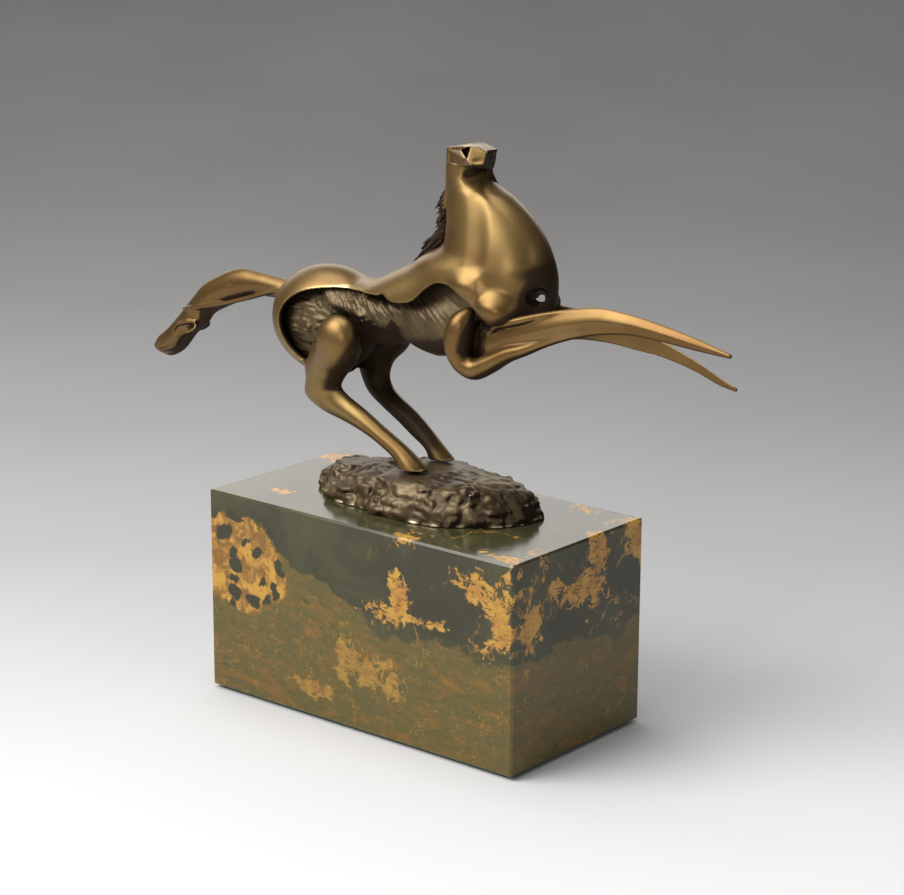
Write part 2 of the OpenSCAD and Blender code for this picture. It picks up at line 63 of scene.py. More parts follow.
def makeCamera(setup):
    turn, rise, roll = (math.radians(setup[k]) for k in ("azimuth", "elevation", "roll"))
    back = Vector((math.sin(turn) * math.cos(rise), -math.cos(turn) * math.cos(rise), math.sin(rise)))
    right = Vector((math.cos(turn), math.sin(turn), 0))
    up = back.cross(right)
    rolledRight = right * math.cos(roll) + up * math.sin(roll)
    rolledUp = up * math.cos(roll) - right * math.sin(roll)
    data = bpy.data.cameras.new("statueCamera")
    data.lens = setup["lens"]
    data.sensor_width = setup["sensor"]
    data.clip_start = 0.05
    data.clip_end = 30
    camera = bpy.data.objects.new("statueCamera", data)
    bpy.context.scene.collection.objects.link(camera)
    axes = Matrix((rolledRight, rolledUp, back)).transposed()
    camera.matrix_world = Matrix.Translation(setup["place"]) @ axes.to_4x4()
    bpy.context.scene.camera = camera


lampSetup = {  # place, point it aims at, width, height, watts, colour
    "keySoftbox": ((-0.6, -0.95, 1.15), (0.0, 0.0, 0.15), 1.2, 0.9, 27.0, (1.0, 0.98, 0.95)),
    "frontSpark": ((0.30, -1.30, 0.55), (0.0, 0.0, 0.15), 0.14, 0.14, 2.5, (1.0, 0.98, 0.95)),
    "sidePanel": ((1.1, -0.15, 0.55), (0.0, 0.0, 0.1), 0.4, 0.6, 1.2, (0.97, 0.98, 1.0)),
    "topPanel": ((-0.25, -0.1, 1.35), (0.0, 0.0, 0.1), 1.1, 1.1, 15.0, (1.0, 1.0, 1.0)),
    "rearPanel": ((-0.95, 1.05, 0.62), (0.0, 0.0, 0.1), 1.9, 0.6, 6.5, (1.0, 0.97, 0.93)),
}
studioFill = {"colour": (0.34, 0.345, 0.355), "strength": 0.3}


def makeLamps(setup, ambient):
    for name, (place, aim, width, height, watts, colour) in setup.items():
        data = bpy.data.lights.new(name, "AREA")
        data.shape = "RECTANGLE"
        data.size = width
        data.size_y = height
        data.energy = watts
        data.color = colour
        lamp = bpy.data.objects.new(name, data)
        bpy.context.scene.collection.objects.link(lamp)
        toward = Vector(aim) - Vector(place)
        lamp.rotation_mode = "QUATERNION"
        lamp.rotation_quaternion = toward.to_track_quat("-Z", "Y")
        lamp.location = place
    world = bpy.data.worlds.new("studioWorld")
    world.use_nodes = True
    world.node_tree.nodes["Background"].inputs["Color"].default_value = (*ambient["colour"], 1)
    world.node_tree.nodes["Background"].inputs["Strength"].default_value = ambient["strength"]
    bpy.context.scene.world = world
    bpy.context.scene.view_settings.view_transform = "Standard"


makeCamera(cameraSetup)
makeLamps(lampSetup, studioFill)


# small helpers for node trees
def nodeIn(tree, kind, **values):
    made = tree.nodes.new(kind)
    for key, value in values.items():
        setattr(made, key, value)
    return made


def plug(tree, socket, value):  # a link, a number or a colour
    if isinstance(value, bpy.types.NodeSocket):
        tree.links.new(value, socket)
    elif isinstance(value, tuple) and socket.type == "RGBA":
        socket.default_value = (*value, 1)[:4]
    elif value is not None:
        socket.default_value = value


def fill(tree, sockets, **values):  # several inputs by name, with _ for a space
    for key, value in values.items():
        plug(tree, sockets[key.replace("_", " ")], value)


def mixColour(tree, factor, first, second):
    mixed = nodeIn(tree, "ShaderNodeMix", data_type="RGBA", blend_type="MIX")
    for place, value in ((0, factor), (6, first), (7, second)):
        plug(tree, mixed.inputs[place], value)
    return mixed.outputs[2]


def maths(tree, operation, first, second=None, clamp=False):
    made = nodeIn(tree, "ShaderNodeMath", operation=operation, use_clamp=clamp)
    plug(tree, made.inputs[0], first)
    plug(tree, made.inputs[1], second)
    return made.outputs[0]


def times(tree, first, second):
    return maths(tree, "MULTIPLY", first, second)


def plus(tree, first, second):
    return maths(tree, "ADD", first, second)


def swing(tree, noise, amount):  # a noise of 0 to 1 as a push of half the amount to either side
    return times(tree, maths(tree, "SUBTRACT", noise, 0.5), amount)


def remap(tree, value, low, high, toLow=0.0, toHigh=1.0, smooth=True):
    made = nodeIn(tree, "ShaderNodeMapRange", interpolation_type="SMOOTHSTEP" if smooth else "LINEAR")
    fill(tree, made.inputs, Value=value, From_Min=low, From_Max=high, To_Min=toLow, To_Max=toHigh)
    return made.outputs["Result"]


def cloud(tree, vector, scale, detail=4.0, roughness=0.55, distortion=0.0):
    made = nodeIn(tree, "ShaderNodeTexNoise")
    fill(tree, made.inputs, Vector=vector, Scale=scale, Detail=detail, Roughness=roughness,
         Distortion=distortion)
    return made.outputs["Fac"]


def cloudColour(tree, vector, scale):  # three noises at once, for pushing a vector about
    noise = nodeIn(tree, "ShaderNodeTexNoise")
    fill(tree, noise.inputs, Vector=vector, Scale=scale, Detail=3.0)
    return noise.outputs["Color"]


def newGroup(name, inputs, outputs):
    group = bpy.data.node_groups.new(name, "ShaderNodeTree")
    kinds = {"v": "NodeSocketVector", "f": "NodeSocketFloat", "c": "NodeSocketColor"}
    for label, kind, value in inputs:
        socket = group.interface.new_socket(label, in_out="INPUT", socket_type=kinds[kind])
        if value is not None:
            socket.default_value = (*value, 1) if kind == "c" else value
    for label, kind in outputs:
        group.interface.new_socket(label, in_out="OUTPUT", socket_type=kinds[kind])
    return group, nodeIn(group, "NodeGroupInput").outputs, nodeIn(group, "NodeGroupOutput").inputs


def placed(tree, group, **values):  # an instance of a node group with its inputs filled
    made = nodeIn(tree, "ShaderNodeGroup", node_tree=group)
    fill(tree, made.inputs, **values)
    return made.outputs


def newMaterial(name, **fixed):
    material = bpy.data.materials.new(name)
    material.use_nodes = True
    tree = material.node_tree
    shader = tree.nodes["Principled BSDF"]
    fill(tree, shader.inputs, **fixed)
    return material, tree, shader, nodeIn(tree, "ShaderNodeTexCoord").outputs["Object"]


def bumped(tree, shader, height, strength, distance):
    lift = nodeIn(tree, "ShaderNodeBump")
    fill(tree, lift.inputs, Strength=strength, Distance=distance, Height=height)
    tree.links.new(lift.outputs["Normal"], shader.inputs["Normal"])


floorSetup = {
    "halfWidth": 5.0,
    "front": -3.0,
    "bendStarts": 1.0,
    "bendRadius": 0.9,
    "top": 3.0,
    # painted light falloff: how pale the floor is, by metres from the statue towards the backdrop, palest
    # in front and darker far off
    "falloffTones": [
        (-0.2, 0.69), (-0.08, 0.6), (0.05, 0.49), (0.2, 0.37), (0.43, 0.28), (0.75, 0.215), (1.0, 0.185),
        (1.4, 0.15), (3.0, 0.15)],
}


def makeFloor(setup):
    turn = math.radians(cameraSetup["azimuth"])
    away = Vector((-math.sin(turn), math.cos(turn), 0))
    side = Vector((math.cos(turn), math.sin(turn), 0))
    start, radius = setup["bendStarts"], setup["bendRadius"]
    profile = [(setup["front"], 0.0), (start, 0.0)]
    for a in np.linspace(0.1, math.pi / 2, 16):
        profile.append((start + radius * math.sin(a), radius - radius * math.cos(a)))
    profile.append((start + radius, setup["top"]))
    verts, faces = [], []
    for across in (-setup["halfWidth"], setup["halfWidth"]):
        for ahead, height in profile:
            p = away * ahead + side * across
            verts.append((p.x, p.y, height))
    n = len(profile)
    for i in range(n - 1):
        faces.append((i, i + n, i + n + 1, i + 1))
    mesh = bpy.data.meshes.new("studioFloor")
    mesh.from_pydata(verts, [], faces)
    mesh.shade_smooth()
    floor = bpy.data.objects.new("studioFloor", mesh)
    bpy.context.scene.collection.objects.link(floor)
    material, tree, shader, place = newMaterial("paleFloor", Roughness=0.85, Specular_IOR_Level=0.15)
    along = nodeIn(tree, "ShaderNodeVectorMath", operation="DOT_PRODUCT")
    plug(tree, along.inputs[0], place)
    along.inputs[1].default_value = (away.x, away.y, 0.9)  # the painted falloff goes on darkening up the backdrop
    low, high = setup["falloffTones"][0][0], setup["falloffTones"][-1][0]
    ramp = nodeIn(tree, "ShaderNodeValToRGB")
    for i, (at, tone) in enumerate(setup["falloffTones"]):
        spot = (at - low) / (high - low)
        stops = ramp.color_ramp.elements
        stop = stops[i] if i < 2 else stops.new(spot)
        stop.position = spot
        stop.color = (tone, tone, tone * 1.01, 1)
    plug(tree, ramp.inputs["Fac"], remap(tree, along.outputs["Value"], low, high, smooth=False))
    grain = remap(tree, cloud(tree, place, 3.0), 0.3, 0.7, 0.0, 0.06)
    tone = mixColour(tree, grain, ramp.outputs["Color"], (0.5, 0.5, 0.5))
    tree.links.new(tone, shader.inputs["Base Color"])
    mesh.materials.append(material)


makeFloor(floorSetup)
print("stage: camera, lamps and floor are set")

# the tables below are in millimetres: x from the plinth's middle, y from the horse's
# middle, its right side below zero, and z from the hooves
mm = 0.001
stoneLow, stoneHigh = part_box("plinth")
hoofRise = 16.0  # hooves above the stone
seatZ = stoneHigh.z / mm + hoofRise


# signed distance fields on a grid: below zero is inside
def makeGrid(low, high, step):
    axes = [np.arange(low[i], high[i] + step, step, dtype=np.float32) for i in range(3)]
    return {
        "low": np.array(low, np.float32), "step": step, "axes": axes,
        "shape": tuple(len(a) for a in axes),
        "x": axes[0][:, None, None], "y": axes[1][None, :, None], "z": axes[2][None, None, :],
    }


def smoothCurve(rows, perRow):
    rows = np.array(rows, np.float64)
    last = len(rows) - 1
    u = np.linspace(0, last, last * perRow + 1)
    i = np.minimum(np.floor(u).astype(int), last - 1)
    f = (u - i)[:, None]
    a, b, c, d = rows[np.maximum(i - 1, 0)], rows[i], rows[i + 1], rows[np.minimum(i + 2, last)]
    square, cube = 2 * a - 5 * b + 4 * c - d, 3 * b - a - 3 * c + d
    return 0.5 * (2 * b + (c - a) * f + square * f ** 2 + cube * f ** 3)


def subBox(grid, low, high):
    cut = []
    for i in range(3):
        lo = int(np.clip(np.floor((low[i] - grid["low"][i]) / grid["step"]), 0, grid["shape"][i]))
        hi = int(np.clip(np.ceil((high[i] - grid["low"][i]) / grid["step"]) + 1, 0, grid["shape"][i]))
        cut.append(slice(lo, hi))
    return tuple(cut)


farOff = 25.0  # what a field holds away from its shape
margin = 9.0   # how far around a shape its field is worked out


def blendIn(a, b, k):  # a and b together, with a fillet of about k between them
    h = np.clip(0.5 + 0.5 * (b - a) / k, 0, 1)
    return b + (a - b) * h - k * h * (1 - h)


def carve(a, b, k=0.01):  # a without b
    return -blendIn(-a, b, k)


def overlap(a, b, k=0.01):  # where both are
    return -blendIn(-a, -b, k)


def bulge(na, nb, a, b, power):  # distance to a rounded section from its two scaled offsets
    r = (na ** power + nb ** power) ** (1 / power)
    ga, gb = (na / r) ** (power - 1) / a, (nb / r) ** (power - 1) / b
    return (r - 1) / np.sqrt(ga * ga + gb * gb)


def egg(grid, centre, radii, tilt=0.0, turn=0.0):  # tilt is in the X-Z plane, turn about Z
    far = np.full(grid["shape"], farOff, np.float32)
    c, r = np.array(centre, float), np.array(radii, float)
    reach = r.max() + margin
    cut = subBox(grid, c - reach, c + reach)
    x, y, z = grid["x"][cut[0]] - c[0], grid["y"][:, cut[1]] - c[1], grid["z"][:, :, cut[2]] - c[2]
    ct, st = math.cos(math.radians(turn)), math.sin(math.radians(turn))
    x, y = x * ct + y * st, y * ct - x * st
    ca, sa = math.cos(math.radians(tilt)), math.sin(math.radians(tilt))
    u, w = x * ca + z * sa, z * ca - x * sa
    k0 = np.sqrt((u / r[0]) ** 2 + (y / r[1]) ** 2 + (w / r[2]) ** 2)
    k1 = np.sqrt((u / r[0] ** 2) ** 2 + (y / r[1] ** 2) ** 2 + (w / r[2] ** 2) ** 2) + 1e-6
    far[cut] = k0 * (k0 - 1) / k1
    return far


def tube(grid, points, perRow=5):  # points are x, y, z, radius
    curve = smoothCurve(points, perRow)
    far = np.full(grid["shape"], farOff, np.float32)
    reach = curve[:, 3].max() + margin
    cut = subBox(grid, curve[:, :3].min(0) - reach, curve[:, :3].max(0) + reach)
    x, y, z = grid["x"][cut[0]], grid["y"][:, cut[1]], grid["z"][:, :, cut[2]]
    best = far[cut]
    for p, q in zip(curve[:-1], curve[1:]):
        s = q[:3] - p[:3]
        t = np.clip(((x - p[0]) * s[0] + (y - p[1]) * s[1] + (z - p[2]) * s[2]) / (s @ s + 1e-9), 0, 1)
        d = np.sqrt((x - p[0] - t * s[0]) ** 2 + (y - p[1] - t * s[1]) ** 2 + (z - p[2] - t * s[2]) ** 2)
        best = np.minimum(best, (d - p[3] - t * (q[3] - p[3])).astype(np.float32))
    far[cut] = best
    return far


def levels(grid, rows, power, along="z"):
    # rows are place along the axis, low and high edge across, half width, middle y
    curve = smoothCurve(rows, 12)
    s = grid["axes"][2 if along == "z" else 0]
    low, high, wide, mid = (np.interp(s, curve[:, 0], curve[:, k]) for k in (1, 2, 3, 4))
    half, centre = (high - low) / 2, (high + low) / 2
    slope = np.sqrt(1 + np.minimum(np.gradient(half, s) ** 2 + np.gradient(centre, s) ** 2 * 0.5, 2.5))
    shape = (1, 1, -1) if along == "z" else (-1, 1, 1)
    half, centre, wide, mid, slope = (
        m.astype(np.float32).reshape(shape) for m in (half, centre, wide, mid, slope))
    across = grid["x"] if along == "z" else grid["z"]
    na = np.abs(across - centre) / half + 1e-4
    nb = np.abs(grid["y"] - mid) / wide + 1e-4
    d = bulge(na, nb, half, wide, power) / slope
    s = s.reshape(shape)
    return np.maximum(d, np.maximum(rows[0][0] - s, s - rows[-1][0])).astype(np.float32)


def limb(grid, rows, power=2.0, perRow=6):
    # rows are upper rail x, y, z, lower rail x, y, z, half thickness
    curve = smoothCurve(rows, perRow)
    centre = (curve[:, :3] + curve[:, 3:6]) / 2
    half = (curve[:, :3] - curve[:, 3:6]) / 2
    tangent = np.gradient(centre, axis=0)
    tangent /= np.linalg.norm(tangent, axis=1)[:, None] + 1e-9
    a = np.linalg.norm(half, axis=1)
    across = half / a[:, None]
    normal = np.cross(tangent, across)
    normal /= np.linalg.norm(normal, axis=1)[:, None] + 1e-9
    flat = np.cross(across, normal)  # the direction along the limb, square to its section
    b = curve[:, 6]
    reach = max(a.max(), b.max()) + margin
    far = np.full(grid["shape"], farOff, np.float32)
    cut = subBox(grid, centre.min(0) - reach, centre.max(0) + reach)
    x, y, z = np.broadcast_arrays(grid["x"][cut[0]], grid["y"][:, cut[1]], grid["z"][:, :, cut[2]])
    shape = x.shape
    x, y, z = x.ravel(), y.ravel(), z.ravel()
    best, where = np.full(x.size, 1e9, np.float32), np.zeros(x.size, np.int32)
    for i, c in enumerate(centre):
        s = (x - c[0]) * flat[i, 0] + (y - c[1]) * flat[i, 1] + (z - c[2]) * flat[i, 2]
        d = (x - c[0]) ** 2 + (y - c[1]) ** 2 + (z - c[2]) ** 2
        d = s * s * 6 + d * 0.15  # mostly the nearest section plane
        closer = d < best
        best[closer] = d[closer]
        where[closer] = i
    c, t = centre.astype(np.float32)[where], flat.astype(np.float32)[where]
    s = (x - c[:, 0]) * t[:, 0] + (y - c[:, 1]) * t[:, 1] + (z - c[:, 2]) * t[:, 2]
    spacing = np.linalg.norm(np.gradient(centre, axis=0), axis=1).astype(np.float32)[where] + 1e-6
    u = np.clip(where + s / spacing, 0, len(centre) - 1)
    lo = np.minimum(np.floor(u).astype(np.int32), len(centre) - 2)
    f = (u - lo).astype(np.float32)

    def between(m):
        m = m.astype(np.float32)
        return m[lo] * (1 - f) + m[lo + 1] * f

    px, py, pz = x - between(centre[:, 0]), y - between(centre[:, 1]), z - between(centre[:, 2])
    qa, qb, qs = (
        px * between(m[:, 0]) + py * between(m[:, 1]) + pz * between(m[:, 2])
        for m in (across, normal, flat))
    ra, rb = between(a), between(b)
    d = bulge(np.abs(qa / ra) + 1e-4, np.abs(qb / rb) + 1e-4, ra, rb, power)
    ends = (u <= 0) | (u >= len(centre) - 1)
    d = np.where(ends, np.sqrt(np.maximum(d, 0) ** 2 + qs ** 2), d)
    far[cut] = d.reshape(shape).astype(np.float32)
    return far


def outlineDistance(grid, points, up=2, perRow=6):
    # distance across a closed outline drawn in X and Z, or in X and Y with up=1
    loop = smoothCurve(points, perRow)[:, :2]
    x, z = (m.ravel() for m in np.meshgrid(grid["axes"][0], grid["axes"][up], indexing="ij"))
    best, inside = np.full(x.size, 1e9), np.zeros(x.size, bool)
    for p, q in zip(loop, np.roll(loop, -1, axis=0)):
        s = q - p
        t = np.clip(((x - p[0]) * s[0] + (z - p[1]) * s[1]) / (s @ s + 1e-9), 0, 1)
        best = np.minimum(best, (x - p[0] - t * s[0]) ** 2 + (z - p[1] - t * s[1]) ** 2)
        crosses = (p[1] > z) != (q[1] > z)
        inside ^= crosses & (x < s[0] * (z - p[1]) / (s[1] + (abs(s[1]) < 1e-9) * 1e-9) + p[0])
    d = (np.sqrt(best) * np.where(inside, -1, 1)).astype(np.float32)
    return d.reshape(len(grid["axes"][0]), 1, -1) if up == 2 else d.reshape(len(grid["axes"][0]), -1, 1)


def ripple(grid, size, seed, ridged=False):
    # smooth random values from -1 to 1; size is their spacing in x, y and z
    rng = np.random.default_rng(seed)
    counts = [int((grid["axes"][i][-1] - grid["low"][i]) / size[i]) + 3 for i in range(3)]
    values = rng.uniform(-1, 1, counts).astype(np.float32)
    for i in range(3):
        g = (grid["axes"][i] - grid["low"][i]) / size[i]
        lo = np.floor(g).astype(int)
        f = (g - lo).astype(np.float32)
        f = (f * f * (3 - 2 * f)).reshape([-1 if j == i else 1 for j in range(3)])
        values = np.take(values, lo, axis=i) * (1 - f) + np.take(values, lo + 1, axis=i) * f
    return 1 - 2 * np.abs(values) if ridged else values


def slanted(values, slope):  # the same values, leaning over towards x as z goes down
    out = np.empty_like(values)
    for k in range(values.shape[2]):
        out[:, :, k] = np.roll(values[:, :, k], -int(round(k * slope)), axis=0)
    return out


def near(grid, centre, radii, soft=0.3):  # 1 inside an egg-shaped region, fading to 0 around it
    c, r = centre, radii
    x, y, z = ((grid[key] - c[i]) / r[i] for i, key in enumerate("xyz"))
    d = x ** 2 + y ** 2 + z ** 2
    return np.clip((1 + soft - np.sqrt(d)) / (2 * soft), 0, 1).astype(np.float32)


def sample(field, grid, points):  # the field's value at points
    free = (points - grid["low"]) / grid["step"]
    g = np.clip(free, 0, np.array(grid["shape"]) - 1.001)
    beyond = np.linalg.norm(free - g, axis=1) * grid["step"]  # outside the grid the field goes on growing
    i = np.floor(g).astype(np.int32)
    f = (g - i).astype(np.float32)
    total = np.zeros(len(points), np.float32)
    for dx in (0, 1):
        for dy in (0, 1):
            for dz in (0, 1):
                w = np.abs(1 - dx - f[:, 0]) * np.abs(1 - dy - f[:, 1]) * np.abs(1 - dz - f[:, 2])
                total += w * field[i[:, 0] + dx, i[:, 1] + dy, i[:, 2] + dz]
    return total + beyond.astype(np.float32)


def skinOf(field, grid):  # the zero surface as points and four-sided faces, pointing outwards
    edge = np.full(field.shape, True)
    edge[1:-1, 1:-1, 1:-1] = False
    field = np.where(edge, np.maximum(field, grid["step"]), field).astype(np.float32)
    volume = openvdb.FloatGrid(background=3.0)
    volume.copyFromArray(field)
    points, triangles, quads = volume.convertToPolygons(isovalue=0.0, adaptivity=0.0)
    points = (points * grid["step"] + grid["low"]).astype(float)
    faces = quads.astype(np.int64)
    if len(triangles):
        faces = np.concatenate([faces, np.column_stack([triangles, triangles[:, -1:]])])
    p, q, r, s = (points[faces[:, j]] for j in range(4))
    signed = np.einsum("ij,ij->i", p, np.cross(q, r)).sum() + np.einsum("ij,ij->i", p, np.cross(r, s)).sum()
    return points, faces if signed > 0 else faces[:, ::-1]


def slopeOf(field, grid, points, h=0.55):  # smooth outward directions, from the field around each point
    out = np.zeros_like(points)
    for i in range(3):
        d = np.zeros(3)
        d[i] = h
        out[:, i] = sample(field, grid, points + d) - sample(field, grid, points - d)
    return out / (np.linalg.norm(out, axis=1)[:, None] + 1e-12)


# painted shade: the direction of the key light, and where and how strongly faces turned from it are made
# darker
paintedShadeSetup = {"from": (-0.75, -0.1, 0.65), "starts": 0.06, "soft": 0.6, "depth": 0.85}


def wearAndShadeOf(field, around, grid, points, normals):
    # hollow: how closed in a spot is by what is around it, for dark patination and painted shade in
    # recesses, plus painted shade on faces turned from the light; wear: how sharply it stands out
    hollow = np.zeros(len(points), np.float32)
    for h, w in ((1.2, 0.15), (3.0, 0.35), (7.0, 0.5)):
        hollow += w * np.clip(1 - sample(around, grid, points + normals * h) / h, 0, 1.2)
    wear = np.zeros(len(points), np.float32)
    for h, w in ((0.9, 0.5), (1.8, 0.5)):
        wear += w * np.clip(1 + sample(field, grid, points - normals * h) / h, 0, 1)
    shade = normals @ np.array(paintedShadeSetup["from"])  # painted shade: faces turned from the key light, underneath, at the breast and on the far side, are made darker
    turnedFromLight = np.clip((-shade - paintedShadeSetup["starts"]) / paintedShadeSetup["soft"], 0, 1)
    hollow = hollow + paintedShadeSetup["depth"] * turnedFromLight
    return np.clip(hollow, 0, 1), np.clip(wear, 0, 1)


def capHoles(points, faces):  # closes every open edge loop, for a skin that was cut in two
    after = {}
    pairs = np.concatenate([faces[:, [0, 1]], faces[:, [1, 2]], faces[:, [2, 3]], faces[:, [3, 0]]])
    pairs = pairs[pairs[:, 0] != pairs[:, 1]]
    keys = pairs[:, 0] * len(points) + pairs[:, 1]
    back = pairs[:, 1] * len(points) + pairs[:, 0]
    for a, b in pairs[~np.isin(back, keys)]:
        after.setdefault(int(a), []).append(int(b))
    caps = []
    while after:
        first = next(iter(after))
        loop, here = [], first
        while here in after:
            loop.append(here)
            onward = after[here].pop()
            if not after[here]:
                del after[here]
            here = onward
            if here == first:
                break
        loop = loop[::-1]
        if len(loop) < 3:
            continue
        corners = [Vector(points[i]) for i in loop]
        facing = sum((corners[i - 1].cross(corners[i]) for i in range(len(loop))), Vector())
        for t in tessellate_polygon([corners]):
            a, b, c = (corners[k] for k in t)
            t = t if (b - a).cross(c - a).dot(facing) >= 0 else t[::-1]
            caps.append((loop[t[0]], loop[t[1]], loop[t[2]], loop[t[2]]))
    return np.concatenate([faces, np.array(caps, np.int64)]) if caps else faces


def finishPiece(name, points, faces, material, replaced, attributes, normals):
    used = np.unique(faces)
    renumber = np.zeros(len(points), np.int64)
    renumber[used] = np.arange(len(used))
    points, faces = points[used], renumber[faces]
    mesh = bpy.data.meshes.new(name)
    world = (points + np.array((0, 0, seatZ))) * mm
    listed = [tuple(f[:3]) if f[2] == f[3] else tuple(f) for f in faces.tolist()]
    mesh.from_pydata(world.tolist(), [], listed)
    mesh.shade_smooth()
    for key, values in attributes.items():
        layer = mesh.attributes.new(key, "FLOAT", "POINT")
        layer.data.foreach_set("value", np.asarray(values, np.float32)[used])
    piece = bpy.data.objects.new(name, mesh)
    bpy.context.scene.collection.objects.link(piece)
    mesh.materials.append(material)
    mesh.normals_split_custom_set_from_vertices(normals[used].tolist())
    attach(piece, "root")
    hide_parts(*replaced)
    print("piece:", name, len(listed), "faces")


def withPaintedShade(hollow, points, shadePlaces):  # painted shade: the middle, reach and depth of each place made darker where shadow falls, in recesses and on shaded sides
    for centre, radii, depth in shadePlaces:
        away = np.sqrt(sum(((points[:, i] - centre[i]) / radii[i]) ** 2 for i in range(3)))
        hollow = hollow + depth * np.clip(1.6 - away, 0, 1)
    return np.clip(hollow, 0, 1)


def fieldPiece(name, field, grid, material, replaced, around=None, shadePlaces=(), fade=None):
    points, faces = skinOf(field, grid)
    normals = slopeOf(field, grid, points)
    hollow, wear = wearAndShadeOf(field, field if around is None else around, grid, points, normals)
    hollow = withPaintedShade(hollow, points, shadePlaces)
    if fade:  # thin ends would all count as worn: x where the wear starts to go, and over what length
        wear = wear * np.clip(1 - (np.abs(points[:, 0]) - fade[0]) / fade[1], 0.1, 1)
    attributes = {"wear": wear, "hollow": hollow}
    finishPiece(name, points, faces, material, replaced, attributes, normals)


def mirrored(rows):  # the same table on the horse's other side
    flipped = []
    for row in rows:
        row = list(row)
        row[1] = -row[1]
        if len(row) > 6:
            row[4] = -row[4]
        flipped.append(tuple(row))
    return flipped


# finishes shared by several materials
def makePatinaAndShade():
    # patinated bronze: worn edges are polished, hollows stay dark, and the Hollow input also carries
    # painted shade, which turns the colour near black
    group, got, put = newGroup(
        "bronzePatinaAndShade",
        [("Vector", "v", None), ("Wear", "f", 0.0), ("Hollow", "f", 0.0),
         ("Umber", "c", (0.15, 0.1, 0.05)),
         ("Olive", "c", (0.2, 0.15, 0.08)), ("Gold", "c", (0.7, 0.5, 0.25)),
         ("Black", "c", (0.024, 0.011, 0.003)), ("Mottle", "f", 60.0), ("Wear Start", "f", 0.5),
         ("Hollow Start", "f", 0.35), ("Sheen Roughness", "f", 0.3)],
        [("Color", "c"), ("Roughness", "f"), ("Height", "f")])
    at = got["Vector"]
    broad = cloud(group, at, got["Mottle"], 3.0)
    fine = cloud(group, at, 900.0, 3.0, 0.6)
    grain = cloud(group, at, 3200.0, 2.0, 0.6)
    speckle = swing(group, fine, 1.0)
    base = mixColour(group, remap(group, broad, 0.34, 0.68), got["Umber"], got["Olive"])
    base = mixColour(group, remap(group, fine, 0.5, 0.8, 0.0, 0.2), base, got["Umber"])
    ragged = plus(group, got["Wear"], times(group, speckle, 0.25))
    polished = remap(group, ragged, got["Wear Start"], plus(group, got["Wear Start"], 0.3))
    base = mixColour(group, polished, base, got["Gold"])
    # near black where Hollow is high: dark patination in recesses together with painted shade
    uneven = swing(group, broad, 0.2)
    sunkAndShaded = remap(group, plus(group, got["Hollow"], uneven), got["Hollow Start"],
                 plus(group, got["Hollow Start"], 0.4))
    base = mixColour(group, times(group, sunkAndShaded, 0.95), base, got["Black"])
    rough = plus(group, got["Sheen Roughness"], times(group, speckle, 0.12))
    rough = plus(group, rough, times(group, sunkAndShaded, 0.35))
    rough = maths(group, "SUBTRACT", rough, times(group, polished, 0.06), clamp=True)
    height = plus(group, times(group, fine, 0.7), times(group, grain, 0.3))
    fill(group, put, Color=base, Roughness=rough, Height=height)
    return group


patinaShadeGroup = makePatinaAndShade()


def makeBronze(name, settings, metallic=0.78, coat=0.12, bump=0.08, bumpDistance=0.0001):
    material, tree, shader, place = newMaterial(
        name, Metallic=metallic, Coat_Weight=coat, Coat_Roughness=0.42)
    wear = nodeIn(tree, "ShaderNodeAttribute", attribute_name="wear").outputs["Fac"]
    # the hollow attribute holds dark patination in recesses and painted shade
    hollow = nodeIn(tree, "ShaderNodeAttribute", attribute_name="hollow").outputs["Fac"]
    patinaAndShade = placed(tree, patinaShadeGroup, Vector=place, Wear=wear, Hollow=hollow, **settings)
    plug(tree, shader.inputs["Base Color"], patinaAndShade["Color"])
    plug(tree, shader.inputs["Roughness"], patinaAndShade["Roughness"])
    bumped(tree, shader, patinaAndShade["Height"], bump, bumpDistance)
    return material


smoothBronze = makeBronze("waxedBronze", {
    "Umber": (0.145, 0.076, 0.019), "Olive": (0.215, 0.138, 0.045), "Gold": (0.6, 0.43, 0.19),
    "Mottle": 28.0, "Wear_Start": 0.68, "Hollow_Start": 0.3, "Sheen_Roughness": 0.37})
coreBronze = makeBronze("hollowBronze", {
    "Umber": (0.07, 0.043, 0.016), "Olive": (0.11, 0.08, 0.034), "Gold": (0.38, 0.3, 0.16), "Mottle": 90.0,
    "Wear_Start": 0.6, "Hollow_Start": 0.32, "Sheen_Roughness": 0.44}, metallic=0.6, coat=0.05, bump=0.35,
    bumpDistance=0.0002)
roughBronze = makeBronze("roughBronze", {
    "Umber": (0.045, 0.03, 0.022), "Olive": (0.08, 0.06, 0.042), "Gold": (0.3, 0.23, 0.15), "Mottle": 120.0,
    "Wear_Start": 0.5, "Hollow_Start": 0.25, "Sheen_Roughness": 0.36}, coat=0.08, bump=0.3,
    bumpDistance=0.00025)
groundBronze = makeBronze("groundBronze", {
    "Umber": (0.055, 0.033, 0.013), "Olive": (0.13, 0.092, 0.045), "Gold": (0.4, 0.33, 0.21),
    "Mottle": 90.0, "Wear_Start": 0.55, "Hollow_Start": 0.2, "Sheen_Roughness": 0.42}, metallic=0.6,
    coat=0.05, bump=0.35, bumpDistance=0.0003)


